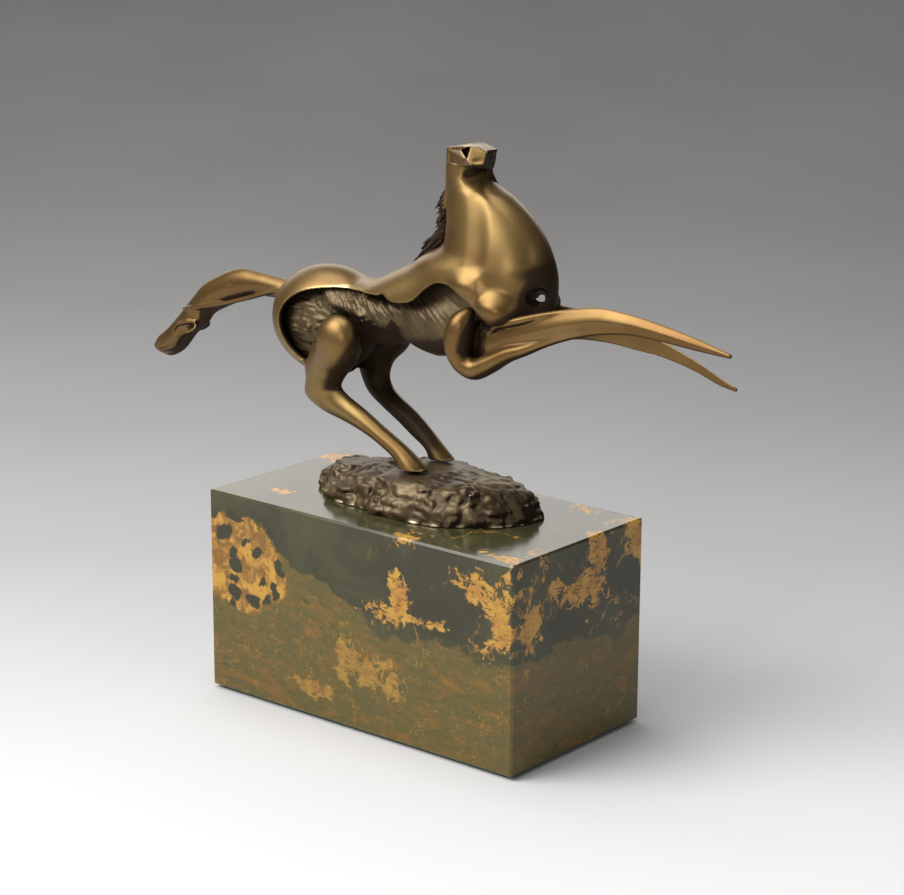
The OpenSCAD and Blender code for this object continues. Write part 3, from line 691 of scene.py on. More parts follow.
def makeVeinWeb():  # thin wandering lines where cells of stone meet
    group, got, put = newGroup(
        "veinWeb",
        [("Vector", "v", None), ("Scale", "f", 60.0), ("Warp", "f", 0.01), ("Width", "f", 0.06)],
        [("Mask", "f")])
    wander = nodeIn(group, "ShaderNodeTexNoise")
    fill(group, wander.inputs, Vector=got["Vector"], Scale=70.0, Detail=5.0, Roughness=0.6)
    shift = nodeIn(group, "ShaderNodeVectorMath", operation="SUBTRACT")
    plug(group, shift.inputs[0], wander.outputs["Color"])
    shift.inputs[1].default_value = (0.5, 0.5, 0.5)
    sized = nodeIn(group, "ShaderNodeVectorMath", operation="SCALE")
    plug(group, sized.inputs[0], shift.outputs[0])
    plug(group, sized.inputs["Scale"], got["Warp"])
    moved = nodeIn(group, "ShaderNodeVectorMath", operation="ADD")
    plug(group, moved.inputs[0], got["Vector"])
    plug(group, moved.inputs[1], sized.outputs[0])
    cells = nodeIn(group, "ShaderNodeTexVoronoi", feature="DISTANCE_TO_EDGE")
    plug(group, cells.inputs["Vector"], moved.outputs[0])
    plug(group, cells.inputs["Scale"], got["Scale"])
    plug(group, put["Mask"], remap(group, cells.outputs["Distance"], 0.0, got["Width"], 1.0, 0.0))
    return group


def makeStonePatch():  # how deep inside a cloud of other stone a place is, 1 in its middle
    group, got, put = newGroup(
        "stonePatch", [("Vector", "v", None), ("Middle", "v", (0, 0, 0)),
        ("Reach", "v", (0.01, 0.01, 0.01)),
                       ("Ragged", "f", 0.8), ("Scale", "f", 90.0)], [("Mask", "f")])
    off = nodeIn(group, "ShaderNodeVectorMath", operation="SUBTRACT")
    plug(group, off.inputs[0], got["Vector"])
    plug(group, off.inputs[1], got["Middle"])
    scaled = nodeIn(group, "ShaderNodeVectorMath", operation="DIVIDE")
    plug(group, scaled.inputs[0], off.outputs[0])
    plug(group, scaled.inputs[1], got["Reach"])
    length = nodeIn(group, "ShaderNodeVectorMath", operation="LENGTH")
    plug(group, length.inputs[0], scaled.outputs[0])
    edge = swing(group, cloud(group, got["Vector"], got["Scale"], 6.0, 0.62), 4.0)
    d = plus(group, length.outputs["Value"], times(group, edge, got["Ragged"]))
    plug(group, put["Mask"], remap(group, d, 0.2, 1.35, 1.0, 0.0, smooth=False))
    return group


veinWeb = makeVeinWeb()
stonePatch = makeStonePatch()

marbleSetup = {
    "dark": (0.034, 0.032, 0.014),
    "darkGreen": (0.062, 0.06, 0.024),
    "olive": (0.125, 0.086, 0.018),
    "brown": (0.2, 0.098, 0.018),
    "moss": (0.095, 0.078, 0.02),
    "gold": (0.49, 0.27, 0.045),
    "ochre": (0.38, 0.17, 0.028),
    "pale": (0.76, 0.5, 0.18),
    # sizes of the noises, as turns to the metre
    "broad": 26.0, "fine": 170.0, "dust": 900.0, "bands": 60.0, "wisps": 150.0,
    "web": 46.0, "lace": 120.0, "threads": 90.0,
    # the lower part is olive: where its top lies, x and height above the stone's foot in millimetres
    "oliveTop": ((-35, 60), (16, 43)),
    "porous": [((-58, -39, 54), (21, 17, 19))],
    "clouds": [  # middle and reach in millimetres, from the foot of the stone
        ((22, -39, 57), (8, 5, 11)), ((10, -39, 50), (11, 5, 6)), ((6, -39, 24), (18, 10, 9)),
        ((70, -39, 58), (11, 5, 17)),
        ((56, -39, 70), (10, 4, 10)), ((75, -30, 56), (4, 9, 16)), ((75, 2, 62), (4, 17, 11)),
        ((75, 12, 74), (4, 8, 11)),
        ((75, 35, 71), (5, 7, 13)), ((75, -14, 66), (4, 7, 6)), ((-70, 28, 80), (16, 5, 3)),
        ((-53, -24, 80), (8, 5, 4)),
        ((22, -37, 80), (8, 3.5, 4)), ((51, 34, 80), (10, 4, 4)), ((62, -33, 80), (12, 4, 4)),
        ((-54, 39, 46), (19, 6, 20)),
        ((30, 39, 62), (20, 6, 10)), ((-75, 10, 40), (6, 18, 20)), ((-20, -39, 12), (14, 5, 4)),
        ((26, -39, 50), (16, 5, 3))],
}


def makeMarble(setup):
    material, tree, shader, place = newMaterial(
        "polishedMarble", Coat_Weight=0.02, Coat_Roughness=0.05, IOR=1.42)
    foot = nodeIn(tree, "ShaderNodeMapping", vector_type="POINT")
    foot.inputs["Location"].default_value = (0, 0, -stoneLow.z)  # heights count from the foot of the stone
    plug(tree, foot.inputs["Vector"], place)
    at = foot.outputs["Vector"]
    parts = nodeIn(tree, "ShaderNodeSeparateXYZ")
    plug(tree, parts.inputs[0], at)
    broad = cloud(tree, at, setup["broad"], 5.0, 0.6, 0.6)
    fine = cloud(tree, at, setup["fine"], 7.0, 0.68, 0.5)
    dust = cloud(tree, at, setup["dust"], 3.0, 0.6)
    dark = mixColour(tree, remap(tree, broad, 0.4, 0.7), setup["dark"], setup["darkGreen"])
    dark = mixColour(tree, remap(tree, dust, 0.58, 0.8, 0.0, 0.25), dark, setup["olive"])
    (x0, z0), (x1, z1) = setup["oliveTop"]
    slope = remap(tree, parts.outputs["X"], x0 * mm, x1 * mm, z0 * mm, z1 * mm, smooth=False)
    wobble = plus(tree, swing(tree, broad, 0.035), swing(tree, fine, 0.008))
    above = maths(tree, "SUBTRACT", plus(tree, parts.outputs["Z"], wobble), slope)
    lower = remap(tree, above, -0.0016, 0.0008, 1.0, 0.0)
    streak = nodeIn(tree, "ShaderNodeMapping")
    streak.inputs["Scale"].default_value = (1, 1, 2.2)
    streak.inputs["Rotation"].default_value = (0, math.radians(-14), 0)
    plug(tree, streak.inputs["Vector"], at)
    bands = cloud(tree, streak.outputs["Vector"], setup["bands"], 9.0, 0.72, 1.6)
    wisps = cloud(tree, streak.outputs["Vector"], setup["wisps"], 7.0, 0.7, 2.4)
    under = mixColour(tree, remap(tree, bands, 0.38, 0.6), setup["moss"], setup["olive"])
    under = mixColour(tree, remap(tree, bands, 0.52, 0.68), under, setup["brown"])
    under = mixColour(tree, remap(tree, wisps, 0.6, 0.72, 0.0, 0.75), under, setup["ochre"])
    under = mixColour(tree, remap(tree, wisps, 0.42, 0.34, 0.0, 0.6), under, setup["dark"])
    under = mixColour(tree, remap(tree, dust, 0.68, 0.76, 0.0, 0.35), under, setup["pale"])
    tone = mixColour(tree, lower, dark, under)
    gold = mixColour(tree, remap(tree, fine, 0.4, 0.62), setup["ochre"], setup["gold"])
    gold = mixColour(tree, remap(tree, wisps, 0.62, 0.74, 0.0, 0.7), gold, setup["pale"])
    # veins run through the upper stone, more of them to the front
    web = placed(tree, veinWeb, Vector=at, Scale=setup["web"], Warp=0.03, Width=0.035)["Mask"]
    lace = placed(tree, veinWeb, Vector=at, Scale=setup["lace"], Warp=0.03, Width=0.16)["Mask"]
    reach = times(tree, remap(tree, parts.outputs["X"], 0.0, 0.03),
                  remap(tree, parts.outputs["Z"], 0.036, 0.05))
    reach = times(tree, reach, remap(tree, broad, 0.42, 0.58))
    veins = times(tree, times(tree, web, reach), remap(tree, fine, 0.38, 0.55))
    threads = placed(tree, veinWeb, Vector=at, Scale=setup["threads"], Warp=0.05, Width=0.03)["Mask"]
    threads = times(tree, times(tree, threads, lower), remap(tree, fine, 0.45, 0.6, 0.0, 0.6))
    tone = mixColour(tree, threads, tone, gold)

    def patch(middle, size, ragged, scale):
        middle, size = (tuple(v * mm for v in row) for row in (middle, size))
        made = placed(tree, stonePatch, Vector=at, Middle=middle, Reach=size, Ragged=ragged, Scale=scale)
        return made["Mask"]

    depth = None
    for middle, size in setup["clouds"]:
        mask = patch(middle, size, 0.7, 70.0)
        depth = mask if depth is None else maths(tree, "MAXIMUM", depth, mask)
    # a cloud breaks up into laces towards its edge and has dark crumbs all through it
    solid = plus(tree, times(tree, depth, 1.15), times(tree, lace, 0.34))
    solid = plus(tree, solid, swing(tree, fine, 2.4))
    patches = remap(tree, solid, 0.74, 0.9)
    patches = times(tree, patches, remap(tree, depth, 0.02, 0.16))
    patches = times(tree, patches, remap(tree, wisps, 0.38, 0.47))
    patches = times(tree, patches, remap(tree, lower, 0.0, 1.0, 1.0, 0.55))
    patches = maths(tree, "MAXIMUM", patches, veins)
    tone = mixColour(tree, patches, tone, gold)
    for middle, size in setup["porous"]:
        mask = remap(tree, patch(middle, size, 0.3, 50.0), 0.22, 0.34)
        bent = nodeIn(tree, "ShaderNodeVectorMath", operation="MULTIPLY_ADD")
        plug(tree, bent.inputs[0], cloudColour(tree, at, 110.0))
        bent.inputs[1].default_value = (0.012, 0.012, 0.012)
        plug(tree, bent.inputs[2], at)
        sponge = nodeIn(tree, "ShaderNodeTexVoronoi", feature="SMOOTH_F1")
        sponge.inputs["Scale"].default_value = 125.0
        sponge.inputs["Smoothness"].default_value = 0.2
        plug(tree, sponge.inputs["Vector"], bent.outputs[0])
        cells = plus(tree, sponge.outputs["Distance"], times(tree, fine, 0.5))
        cells = remap(tree, cells, 0.58, 0.68)
        crust = mixColour(tree, remap(tree, fine, 0.42, 0.58), setup["brown"], gold)
        tone = mixColour(tree, mask, tone, mixColour(tree, cells, setup["dark"], crust))
        patches = maths(tree, "MAXIMUM", patches, times(tree, mask, cells))
    plug(tree, shader.inputs["Base Color"], tone)
    rough = plus(tree, remap(tree, patches, 0.0, 1.0, 0.13, 0.26), times(tree, dust, 0.05))
    plug(tree, shader.inputs["Roughness"], rough)
    bumped(tree, shader, times(tree, dust, patches), 0.15, 0.0001)
    return material


def makeFelt():
    material, tree, shader, place = newMaterial(
        "pressedFelt", Roughness=0.95, Specular_IOR_Level=0.1, Sheen_Weight=0.4)
    fibre = cloud(tree, place, 1800.0, 6.0, 0.75, 1.5)
    fluff = cloud(tree, place, 240.0, 3.0)
    tone = mixColour(tree, remap(tree, fibre, 0.3, 0.7), (0.02, 0.06, 0.035), (0.06, 0.15, 0.09))
    tone = mixColour(tree, remap(tree, fluff, 0.4, 0.7, 0.0, 0.4), tone, (0.03, 0.09, 0.055))
    plug(tree, shader.inputs["Base Color"], tone)
    bumped(tree, shader, fibre, 0.6, 0.0004)
    return material


def makeSteel():
    material, tree, shader, place = newMaterial("zincSteel", Metallic=1.0)
    flakes = nodeIn(tree, "ShaderNodeTexVoronoi", feature="F1")
    flakes.inputs["Scale"].default_value = 1400.0
    plug(tree, flakes.inputs["Vector"], place)
    haze = cloud(tree, place, 380.0, 5.0, 0.6)
    tone = mixColour(tree, remap(tree, haze, 0.35, 0.7), (0.42, 0.42, 0.43), (0.62, 0.62, 0.61))
    bright = remap(tree, flakes.outputs["Distance"], 0.2, 0.8, 0.0, 0.25)
    tone = mixColour(tree, bright, tone, (0.75, 0.74, 0.7))
    plug(tree, shader.inputs["Base Color"], tone)
    plug(tree, shader.inputs["Roughness"], remap(tree, haze, 0.3, 0.7, 0.26, 0.46))
    bumped(tree, shader, haze, 0.15, 0.0001)
    return material


def dressNodes():
    finishes = {
        "stone": makeMarble(marbleSetup), "felt": makeFelt(), "steel": makeSteel(),
        "bronze": smoothBronze, "dark_bronze": roughBronze}
    for row in frame["record"]["subparts"]:
        node = frame["nodes"][row["node"]]
        for place in node.material_slots:
            place.material = finishes[row["material_slot"]]


dressNodes()
print("stage: finishes are made")

# the outer skin: haunch, barrel and neck, open at both flanks, with the hind legs
skinShape = {
    "step": 0.45,
    "wall": 2.0,
    "openBelow": 82.0,   # the neck is solid above this
    "hollowUpTo": 46,    # and ahead of this the breast is solid
    "neckFrom": 8,       # where the neck's piece takes over from the back's
    "haunch": ((-46, 0, 49.0), (26, 18.2, 21.2)),
    "barrel": [  # x, belly z, back z, half width, middle y
        (-40, 36, 65.4, 14, 0), (-30, 36, 66.8, 15.2, 0), (-21, 38, 68.6, 15.8, 0),
        (-12, 40, 72.6, 16.4, 0),
        (-2, 41, 77.4, 16.8, 0), (8, 42, 82, 16.8, 0), (20, 44, 84, 16.4, 0), (34, 48, 82, 15.4, 0)],
    "neck": [  # z, crest x, throat x, half width, middle y
        (60, 4, 57.4, 14.8, 0), (66, 1.5, 59.4, 16.2, 0), (72, 2, 60.4, 16.6, 0), (79, 4, 60.2, 16.2, 0),
        (85.6, 12.4, 58.2, 14.4, 0), (92.4, 13.7, 54.8, 12.6, 0), (99.8, 13.6, 48.4, 10.6, 0),
        (105.3, 13.6, 41, 9.2, 0), (109, 13.6, 33.4, 8.2, 0), (113, 13.6, 28.8, 7.4, 0),
        (117, 13.8, 27.4, 7.2, 0)],
    "opening": [  # lip of the shell, from the rear round to the breast, and back below the belly
        (-38, 30.5), (-44.5, 32.2), (-52, 37), (-57, 43.5), (-58.8, 50), (-56.4, 55.8), (-50.5, 60.4),
        (-43, 63),
        (-34, 64.2), (-22, 64.6), (-11, 65.2), (-7, 66.2), (-4.2, 65.0), (-1, 64.3), (4, 64.6),
        (9, 66.2), (14, 70.6),
        (19, 73.8), (24, 74.6), (29.5, 73.2), (34, 70.6), (38, 67.8), (42, 64.4), (44.6, 60.4),
        (44.4, 55.5), (41, 51.5),
        (38, 44), (38, 32), (20, 22), (-10, 20), (-30, 24)],
    "valley": [(33, -13, 107, 3.2), (35.4, -15.2, 100, 4), (36.6, -17.4, 92, 4.4), (37.6, -19.2, 85, 4)],
    "groove": [(22.5, -10.2, 111, 0.6), (24, -13.2, 104, 0.9), (25.6, -14.8, 96, 1.1),
        (28, -17.2, 88, 1.0)],
    "breast": [((45, -10.5, 67.6), (9.5, 8.6, 6.6), -12, 0), ((34, -12.6, 74.6), (7, 6, 4.6), -8, 0)],
    "throat": ((30.4, -9.6, 113.0), (7.4, 6.2, 3.6), 0, 50),
    "hole": [(64, -10, 75.7, 2.2), (54.5, 1.3, 71.6, 2.3), (42.4, 16.5, 66.7, 2.1)],
    "holeRim": ((58.5, -6, 72.6), (4.0, 3.4, 3.4), 0, 0),
    "paintedShadeSpots": [  # painted shade under the jaw, round the breast's hole, on the far hind leg's inner side and thigh, and over the near hind leg's lower half
        ((31.5, -8.5, 112), (6, 6, 3.2), 0.7), ((58, -6, 72), (4, 5, 5), 0.5), ((-16, 7.0, 20),
        (22, 3.2, 26), 1.0),
        ((-28, 7, 38), (14, 4, 14), 1.0), ((-15, -11, 17), (24, 6, 14), 0.28)],
}
rearLegRight = {
    "ball": ((-28.8, -15.2, 45.0), (9.6, 6.4, 10.4)),
    "shin": [
        (-22, -12.5, 42, -45, -11, 42, 5.2), (-23.5, -12.4, 38, -46, -11.6, 37.5, 6.2),
        (-26.5, -12.2, 33.4, -48.2, -11.6, 33, 5.6), (-30.4, -11.4, 28.8, -48.6, -11.2, 27.6, 4.8),
        (-31.6, -10.8, 26, -49.2, -10.8, 21.0, 4.4), (-28.5, -10.4, 23.2, -41.6, -10.4, 16.2, 4.0),
        (-19.6, -10, 18.6, -28, -10, 12.8, 3.8), (-9.8, -9.6, 13.0, -17.6, -9.6, 9.4, 3.6),
        (0, -9.2, 7.6, -9.4, -9.2, 5.2, 3.6), (6, -9, 3.2, -4.8, -9, 2.2, 4.2),
        (9.6, -9, -0.6, -4.4, -9, -0.6, 4.8)],
}
rearLegLeft = {
    "ball": ((-28.6, 15.2, 45.0), (9.4, 6.4, 10.2)),
    "shin": [
        (-20, 12.5, 42, -43, 11, 42, 5.2), (-22.5, 12.4, 39.5, -42.4, 12, 36.4, 6.2),
        (-25.6, 12, 33.6, -42, 12, 30.2, 5.4), (-26.8, 11, 28.2, -38.6, 11, 24.2, 4.8),
        (-25.4, 10.6, 24.2, -34.6, 10.6, 19.4, 4.5), (-21, 10.2, 20.6, -27.8, 10.2, 15.4, 4.3),
        (-12.4, 10, 15.8, -20, 10, 11, 4.0), (-4.6, 9.6, 10.4, -12.6, 9.6, 6.6, 3.8),
        (1.4, 9.2, 5.6, -7, 9.2, 3.8, 3.8), (5, 9, 2.4, -4.4, 9, 1.6, 4.2),
        (8.4, 9, -0.6, -3.8, 9, -0.6, 4.6)],
}
coreShape = {
    "eggs": [  # middle, half sizes
        ((-46, 0, 48), (22.6, 13.2, 18.6)), ((-21, 0, 53), (19, 5.6, 10)), ((13, 0, 57.2),
        (25.5, 13.6, 14.0)),
        ((36, 0, 62), (17, 9.6, 13.0))],
    "ridge": [(-36, -6, 60.8, 6.2), (-27, -8.6, 60.4, 5.6), (-18, -9.4, 58.4, 5.2), (-8, -7.5, 56.8, 6)],
    "spine": [(-50, 0, 60, 7), (-30, 0, 61, 7), (-10, 0, 64, 8), (10, 0, 68, 9), (30, 0, 68, 9)],
}


def buildBody():
    grid = makeGrid((-76, -22.5, -2.5), (66, 22.5, 121), skinShape["step"])
    outer = blendIn(egg(grid, *skinShape["haunch"]), levels(grid, skinShape["barrel"], 2.2, "x"), 3.0)
    outer = blendIn(outer, levels(grid, skinShape["neck"], 2.1), 6.0)
    for centre, radii, tilt, turn in skinShape["breast"]:
        for side in (1, -1):
            c = (centre[0], centre[1] * side, centre[2])
            outer = blendIn(outer, egg(grid, c, radii, tilt, turn), 3.5)
    for side in (skinShape["valley"], mirrored(skinShape["valley"])):
        outer = carve(outer, tube(grid, side), 3.5)
    for side in (skinShape["groove"], mirrored(skinShape["groove"])):
        outer = carve(outer, tube(grid, side), 1.6)
    outer = carve(outer, egg(grid, *skinShape["throat"]), 1.2)
    outer = carve(outer, egg(grid, *skinShape["holeRim"]), 2.0)
    outer = carve(outer, tube(grid, skinShape["hole"]), 0.4)
    opening = outlineDistance(grid, [(x, z, 0) for x, z in skinShape["opening"]])
    inside = np.maximum(outer + skinShape["wall"], grid["z"] - skinShape["openBelow"])
    flanks = carve(outer, opening + 0 * outer, 0.5)
    shell = carve(flanks, np.maximum(inside, grid["x"] - skinShape["hollowUpTo"]), 0.5)
    print("stage: the outer skin's field is ready")
    legs = []
    for leg in (rearLegRight, rearLegLeft):
        legs.append(blendIn(egg(grid, *leg["ball"]), limb(grid, leg["shin"], 1.8, 16), 4.5))
    whole = blendIn(blendIn(shell, legs[0], 3.0), legs[1], 3.0)
    whole = np.maximum(whole, -grid["z"])

    core = np.full(grid["shape"], farOff, np.float32)
    for centre, radii in coreShape["eggs"]:
        core = blendIn(core, egg(grid, centre, radii), 3.0)
    for side in (coreShape["ridge"], mirrored(coreShape["ridge"])):
        core = blendIn(core, tube(grid, side), 2.5)
    core = blendIn(core, tube(grid, coreShape["spine"]), 3.0)
    # it stays inside the skin
    core = np.maximum(core, np.where(grid["x"] > skinShape["neckFrom"], outer + 1.0, outer + 1.6))
    wrinkles = ripple(grid, (7.0, 2.2, 1.5), 11, True) * 0.5 + ripple(grid, (3.0, 2, 0.9), 12, True) * 0.3
    cut = near(grid, (-49, 0, 50), (13, 30, 16)) + near(grid, (-20, 0, 57), (10, 30, 9)) * 0.9
    strokes = ripple(grid, (1.5, 3.0, 8.0), 13, True) * 0.5 + ripple(grid, (0.9, 2.0, 4.0), 14) * 0.3
    strokes = slanted(strokes, 1.3)
    comb = near(grid, (-20, 0, 59), (22, 30, 9)) * 1.1 + near(grid, (42, 0, 60), (12, 30, 12)) * 1.3
    comb = np.maximum(comb, near(grid, (12, 0, 60), (22, 30, 9)) * 0.55)
    core = core + (wrinkles * np.clip(cut, 0, 1) * 1.1 + strokes * comb * 0.8).astype(np.float32)
    return grid, outer, shell, legs, whole, core


grid, outer, shell, legs, whole, core = buildBody()
together = np.minimum(whole, core)


def cutSkin():
    points, faces = skinOf(whole, grid)
    normals = slopeOf(whole, grid, points)
    hollow, wear = wearAndShadeOf(whole, together, grid, points, normals)
    hollow = withPaintedShade(hollow, points, skinShape["paintedShadeSpots"])
    middle = points[faces].mean(axis=1)
    distances = np.stack([sample(f, grid, middle) for f in (shell, legs[0], legs[1])])
    label = distances.argmin(axis=0)
    label[(label == 0) & (middle[:, 0] > skinShape["neckFrom"])] = 3
    names = [("backShell", "back_shell"), ("hindLegRight", "hind_leg_right"),
             ("hindLegLeft", "hind_leg_left"), ("neckSkin", "neck")]
    attributes = {"wear": wear, "hollow": hollow}
    for k, (name, node) in enumerate(names):
        own = capHoles(points, faces[label == k])
        finishPiece(name, points, own, smoothBronze, [node], attributes, normals)


cutSkin()
# the torso core gets painted shade below its ridge between the hind legs and under the barrel
fieldPiece("torsoCore", core, grid, coreBronze, ["torso_core"], together,
           [((-22, -4, 45), (11, 14, 9), 0.8), ((12, -9, 47), (24, 10, 7), 0.5)])
print("stage: body and hind legs are made")

frontLegs = {
    "step": 0.36,
    "flat": 9.2,  # how far from the horse's middle the flat lies that is brazed to the body
    "wearFades": (55, 45),
    "right": {
        # painted shade in the hollow behind the shoulder's egg
        "paintedShadeSpots": [((38.4, -11.5, 57), (2.6, 4, 7.5), 0.7)],
        "hook": [  # x, y, z, radius, from the shoulder's egg round the elbow and out along the lower edge
            (33.6, -14.4, 64.6, 2.6), (31.6, -15.6, 60.4, 5.0), (30.4, -15.9, 55.6, 5.4),
            (30.4, -15.7, 50.6, 4.8),
            (32.6, -15.3, 46.6, 4.2), (37.4, -14.8, 45.0, 4.0), (44.0, -14.2, 48.0, 3.6),
            (51.4, -13.6, 52.2, 2.9),
            (59.2, -13, 55.2, 2.2), (67.8, -12.5, 58.9, 1.6), (79, -11.9, 62.9, 1.1),
            (91, -11.3, 66.0, 0.9),
            (103, -10.8, 67.4, 0.8), (115.4, -10.3, 66.9, 0.7), (128.6, -9.6, 65.8, 0.6),
            (142.6, -9, 64.8, 0.5)],
        "rim": [
            (44.6, -13.6, 60.4, 1.2), (47, -14.2, 62.4, 1.4), (52.0, -13.8, 63.9, 1.5),
            (57.6, -13.0, 65.6, 1.5),
            (66.5, -12.2, 68.4, 1.2), (77, -11.4, 71.2, 0.9), (90, -10.8, 73.4, 0.7),
            (104, -10.2, 72.7, 0.6),
            (117, -9.8, 70.7, 0.6), (130.5, -9.4, 68.1, 0.6), (143, -9, 65, 0.5)],
        "web": [
            (31.5, -10.9, 62, 31.5, -11.2, 48, 1.7), (36.4, -10.9, 61.4, 36.0, -11.4, 47, 1.7),
            (41.4, -12.0, 60, 40, -12.6, 48, 1.5), (45.5, -12.4, 61.6, 46, -12.6, 49.6, 1.5),
            (51, -12.2, 63.6, 53, -12.2, 52.4, 1.6), (57, -11.9, 65.2, 59.5, -12.0, 55.2, 1.9),
            (66.5, -11.9, 68.4, 68, -12.3, 58.8, 2.3), (77, -11.7, 71.4, 79, -11.8, 62.4, 2.6),
            (90, -11, 73.8, 91, -11.2, 65.4, 2.5), (104, -10.4, 73.0, 103, -10.6, 66.8, 2.2),
            (117, -10, 71, 115.4, -10.2, 66.4, 1.8), (130.5, -9.5, 68.3, 128.6, -9.6, 65.2, 1.3),
            (143, -9, 65.2, 142.6, -9, 64.4, 0.5)],
    },
    "left": {
        "paintedShadeSpots": [],
        "hook": [
            (33.4, 14.6, 64.4, 3.0), (31.4, 15.6, 60.4, 5.0), (31, 15.8, 56, 4.8), (33.6, 15.4, 53, 4.0),
            (38.2, 14.8, 53.2, 3.4), (44.6, 14.2, 53.6, 3.0), (51.4, 13.2, 54.6, 2.4),
            (58.6, 12.2, 56.2, 2.0),
            (67, 11, 57.4, 1.6), (79.4, 10.2, 57.6, 1.1), (91.6, 9.6, 56.8, 0.9), (101.6, 9.2, 56, 0.8),
            (115, 9, 53.2, 0.7), (127, 9, 49.2, 0.6), (133.2, 9, 48.3, 0.5)],
        "rim": [
            (45.6, 13.8, 60.6, 1.2), (48, 14.2, 62.6, 1.4), (52.6, 13, 64.6, 1.5), (57, 12, 65.2, 1.4),
            (66.5, 11, 65.4, 1.1), (79, 10.2, 64.4, 0.9), (92, 9.6, 62.2, 0.7), (104, 9.2, 59.4, 0.6),
            (117.6, 9, 54.8, 0.6), (128.6, 9, 50, 0.6), (133.4, 9, 48.4, 0.5)],
        "web": [
            (32.4, 10.9, 62, 32.4, 11.2, 52, 1.7), (37, 10.9, 61, 37, 11.4, 53, 1.7),
            (41.4, 12.6, 59, 41, 12.8, 53.4, 1.5),
            (46, 12.6, 61.6, 47, 12.6, 54.4, 1.5), (52, 12.2, 64.2, 53, 12.2, 55.2, 1.6),
            (57, 11.6, 65.2, 58.6, 11.6, 56, 1.9), (66.5, 11, 65.6, 67, 11, 57.2, 2.3),
            (79, 10.2, 64.6, 79.4, 10.2, 57.4, 2.5),
            (92, 9.6, 62.4, 91.6, 9.6, 56.6, 2.2), (104, 9.2, 59.6, 101.6, 9.2, 55.8, 1.9),
            (117.6, 9, 55, 115, 9, 53, 1.5),
            (128.6, 9, 50.2, 127, 9, 49.2, 1.0), (133.2, 9, 48.6, 133.2, 9, 48.1, 0.5)],
    },
}


def makeFrontLegs():
    for side, lowY, highY in (("right", -23, -4), ("left", 4, 23)):
        leg = frontLegs[side]
        own = makeGrid((20, lowY, 38), (146, highY, 78), frontLegs["step"])
        field = blendIn(tube(own, leg["hook"], 8), limb(own, leg["web"], 1.5, 8), 1.6)
        field = blendIn(field, tube(own, leg["rim"], 8), 1.0)
        inner = -own["y"] if side == "right" else own["y"]
        cuts = ripple(own, (1.4, 2.0, 4.0), 31, True) * 0.55 + ripple(own, (0.9, 1.2, 2.2), 32, True) * 0.3
        armpit = near(own, (37.8, -11 if side == "right" else 11, 56), (3.4, 4, 9), 0.5)
        field = (field + cuts * armpit).astype(np.float32)
        field = np.maximum(field, frontLegs["flat"] - inner)
        fieldPiece("foreleg" + side.capitalize(), field, own, smoothBronze, ["foreleg_" + side],
                   None, leg["paintedShadeSpots"], frontLegs["wearFades"])


makeFrontLegs()
print("stage: forelegs are made")

# the head faces the horse's right and a little up; its tables are across, up and ahead of the poll
headShape = {
    "poll": (22.2, 1.2, 115.8),
    "turn": -50.0,
    "rise": 14.0,
    "step": 0.22,
    "muzzle": [  # the blunt end first, then the brow and the jaw behind it
        (-1.6, 4.8, 16.5), (2.6, 4.5, 16.5), (5.2, 2.4, 18), (4.0, -2.5, 20), (-0.5, -2.4, 20),
        (-2.3, 0, 18.5),
        (-1.2, 7.1, 4), (4.2, 7.0, 4), (6.2, 4.2, 3), (5.2, -2.2, 4), (-4.4, -1.4, 4), (-5.2, 5.0, 3),
        (0, -1, -5), (0, 6, -5)],
    "cheek": [  # the plane beside the muzzle on the left of the face
        (-8.2, 5.2, 0), (-3.8, 4.2, 9.5), (-2.6, 0, 16.8), (-1.4, -2.3, 18.2), (-5.3, -1.3, 9),
        (-7.2, 1.4, 2), (0, 0, 2), (0, 3, 2)],
    "earLeft": [(-8.9, 6.2, -2), (-5.8, 6.4, 3), (-3.2, 5.8, 10), (-1.4, 5.2, 15), (-6.2, 4.6, 3),
        (-3, 3.6, 6), (0, 7.4, 3),
                (-7.2, 3.6, -3), (0, 4, -3)],
    "earRight": [(9.5, 5.2, 2), (4.0, 7.6, 4), (0.2, 7.6, 4), (5.2, 3.6, 14), (6.4, 3.0, 9),
        (8.8, 3.9, 2), (3, 4, 2), (4, 6, -3)],
    "flap": [(9.0, 4.7, 2), (6.0, 3.0, 13), (5.0, 0, 15), (4.6, -2.6, 15), (7.3, -2.4, 5), (8.6, 0.2, 2),
        (4, 2, 0), (4, -1.6, 1)],
    "nostril": [(-4.5, 5.0, 26), (-0.3, 5.5, 26), (-2.0, -0.6, 26), (-3.9, 4.4, 7), (-0.9, 4.7, 7),
        (-2.1, 0.9, 7)],
    "face": ((1.6, 1.2, 20.2), (3.2, 2.6, 1.3)),    # the shallow dish in the muzzle's end
    "flapDish": ((7.4, 1.0, 13.0), (1.6, 2.6, 5)),
    "crest": [(-8.6, -14, -7, 2.6), (-7.6, -8.4, -2, 2.0), (-7.5, -2.1, 0, 1.7), (-7.7, 3.3, -1, 1.5),
        (-8.2, 5.6, -2, 0.7)],
    "throatEdge": [(8.6, -9.4, -2, 2.2), (7.4, -6, 1, 1.5), (6.3, -3.0, 3, 1.3), (6.6, 0, 4, 1.0)],
    "skull": ((0.6, 0.4, -1.0), (6.4, 7.2, 5.6)),
    "nape": [(20.2, 0, 110, 6.2), (20.4, 0, 114.5, 6.6),
        (20.6, 0.2, 116.6, 6.0)],  # fills the top of the neck, in body places
}


def headAxes(shape):
    turn, rise = math.radians(shape["turn"]), math.radians(shape["rise"])
    ahead = np.array((math.cos(turn) * math.cos(rise), math.sin(turn) * math.cos(rise), math.sin(rise)))
    across = np.cross((0, 0, 1), ahead)
    across /= np.linalg.norm(across)
    return np.stack((across, np.cross(ahead, across), ahead))


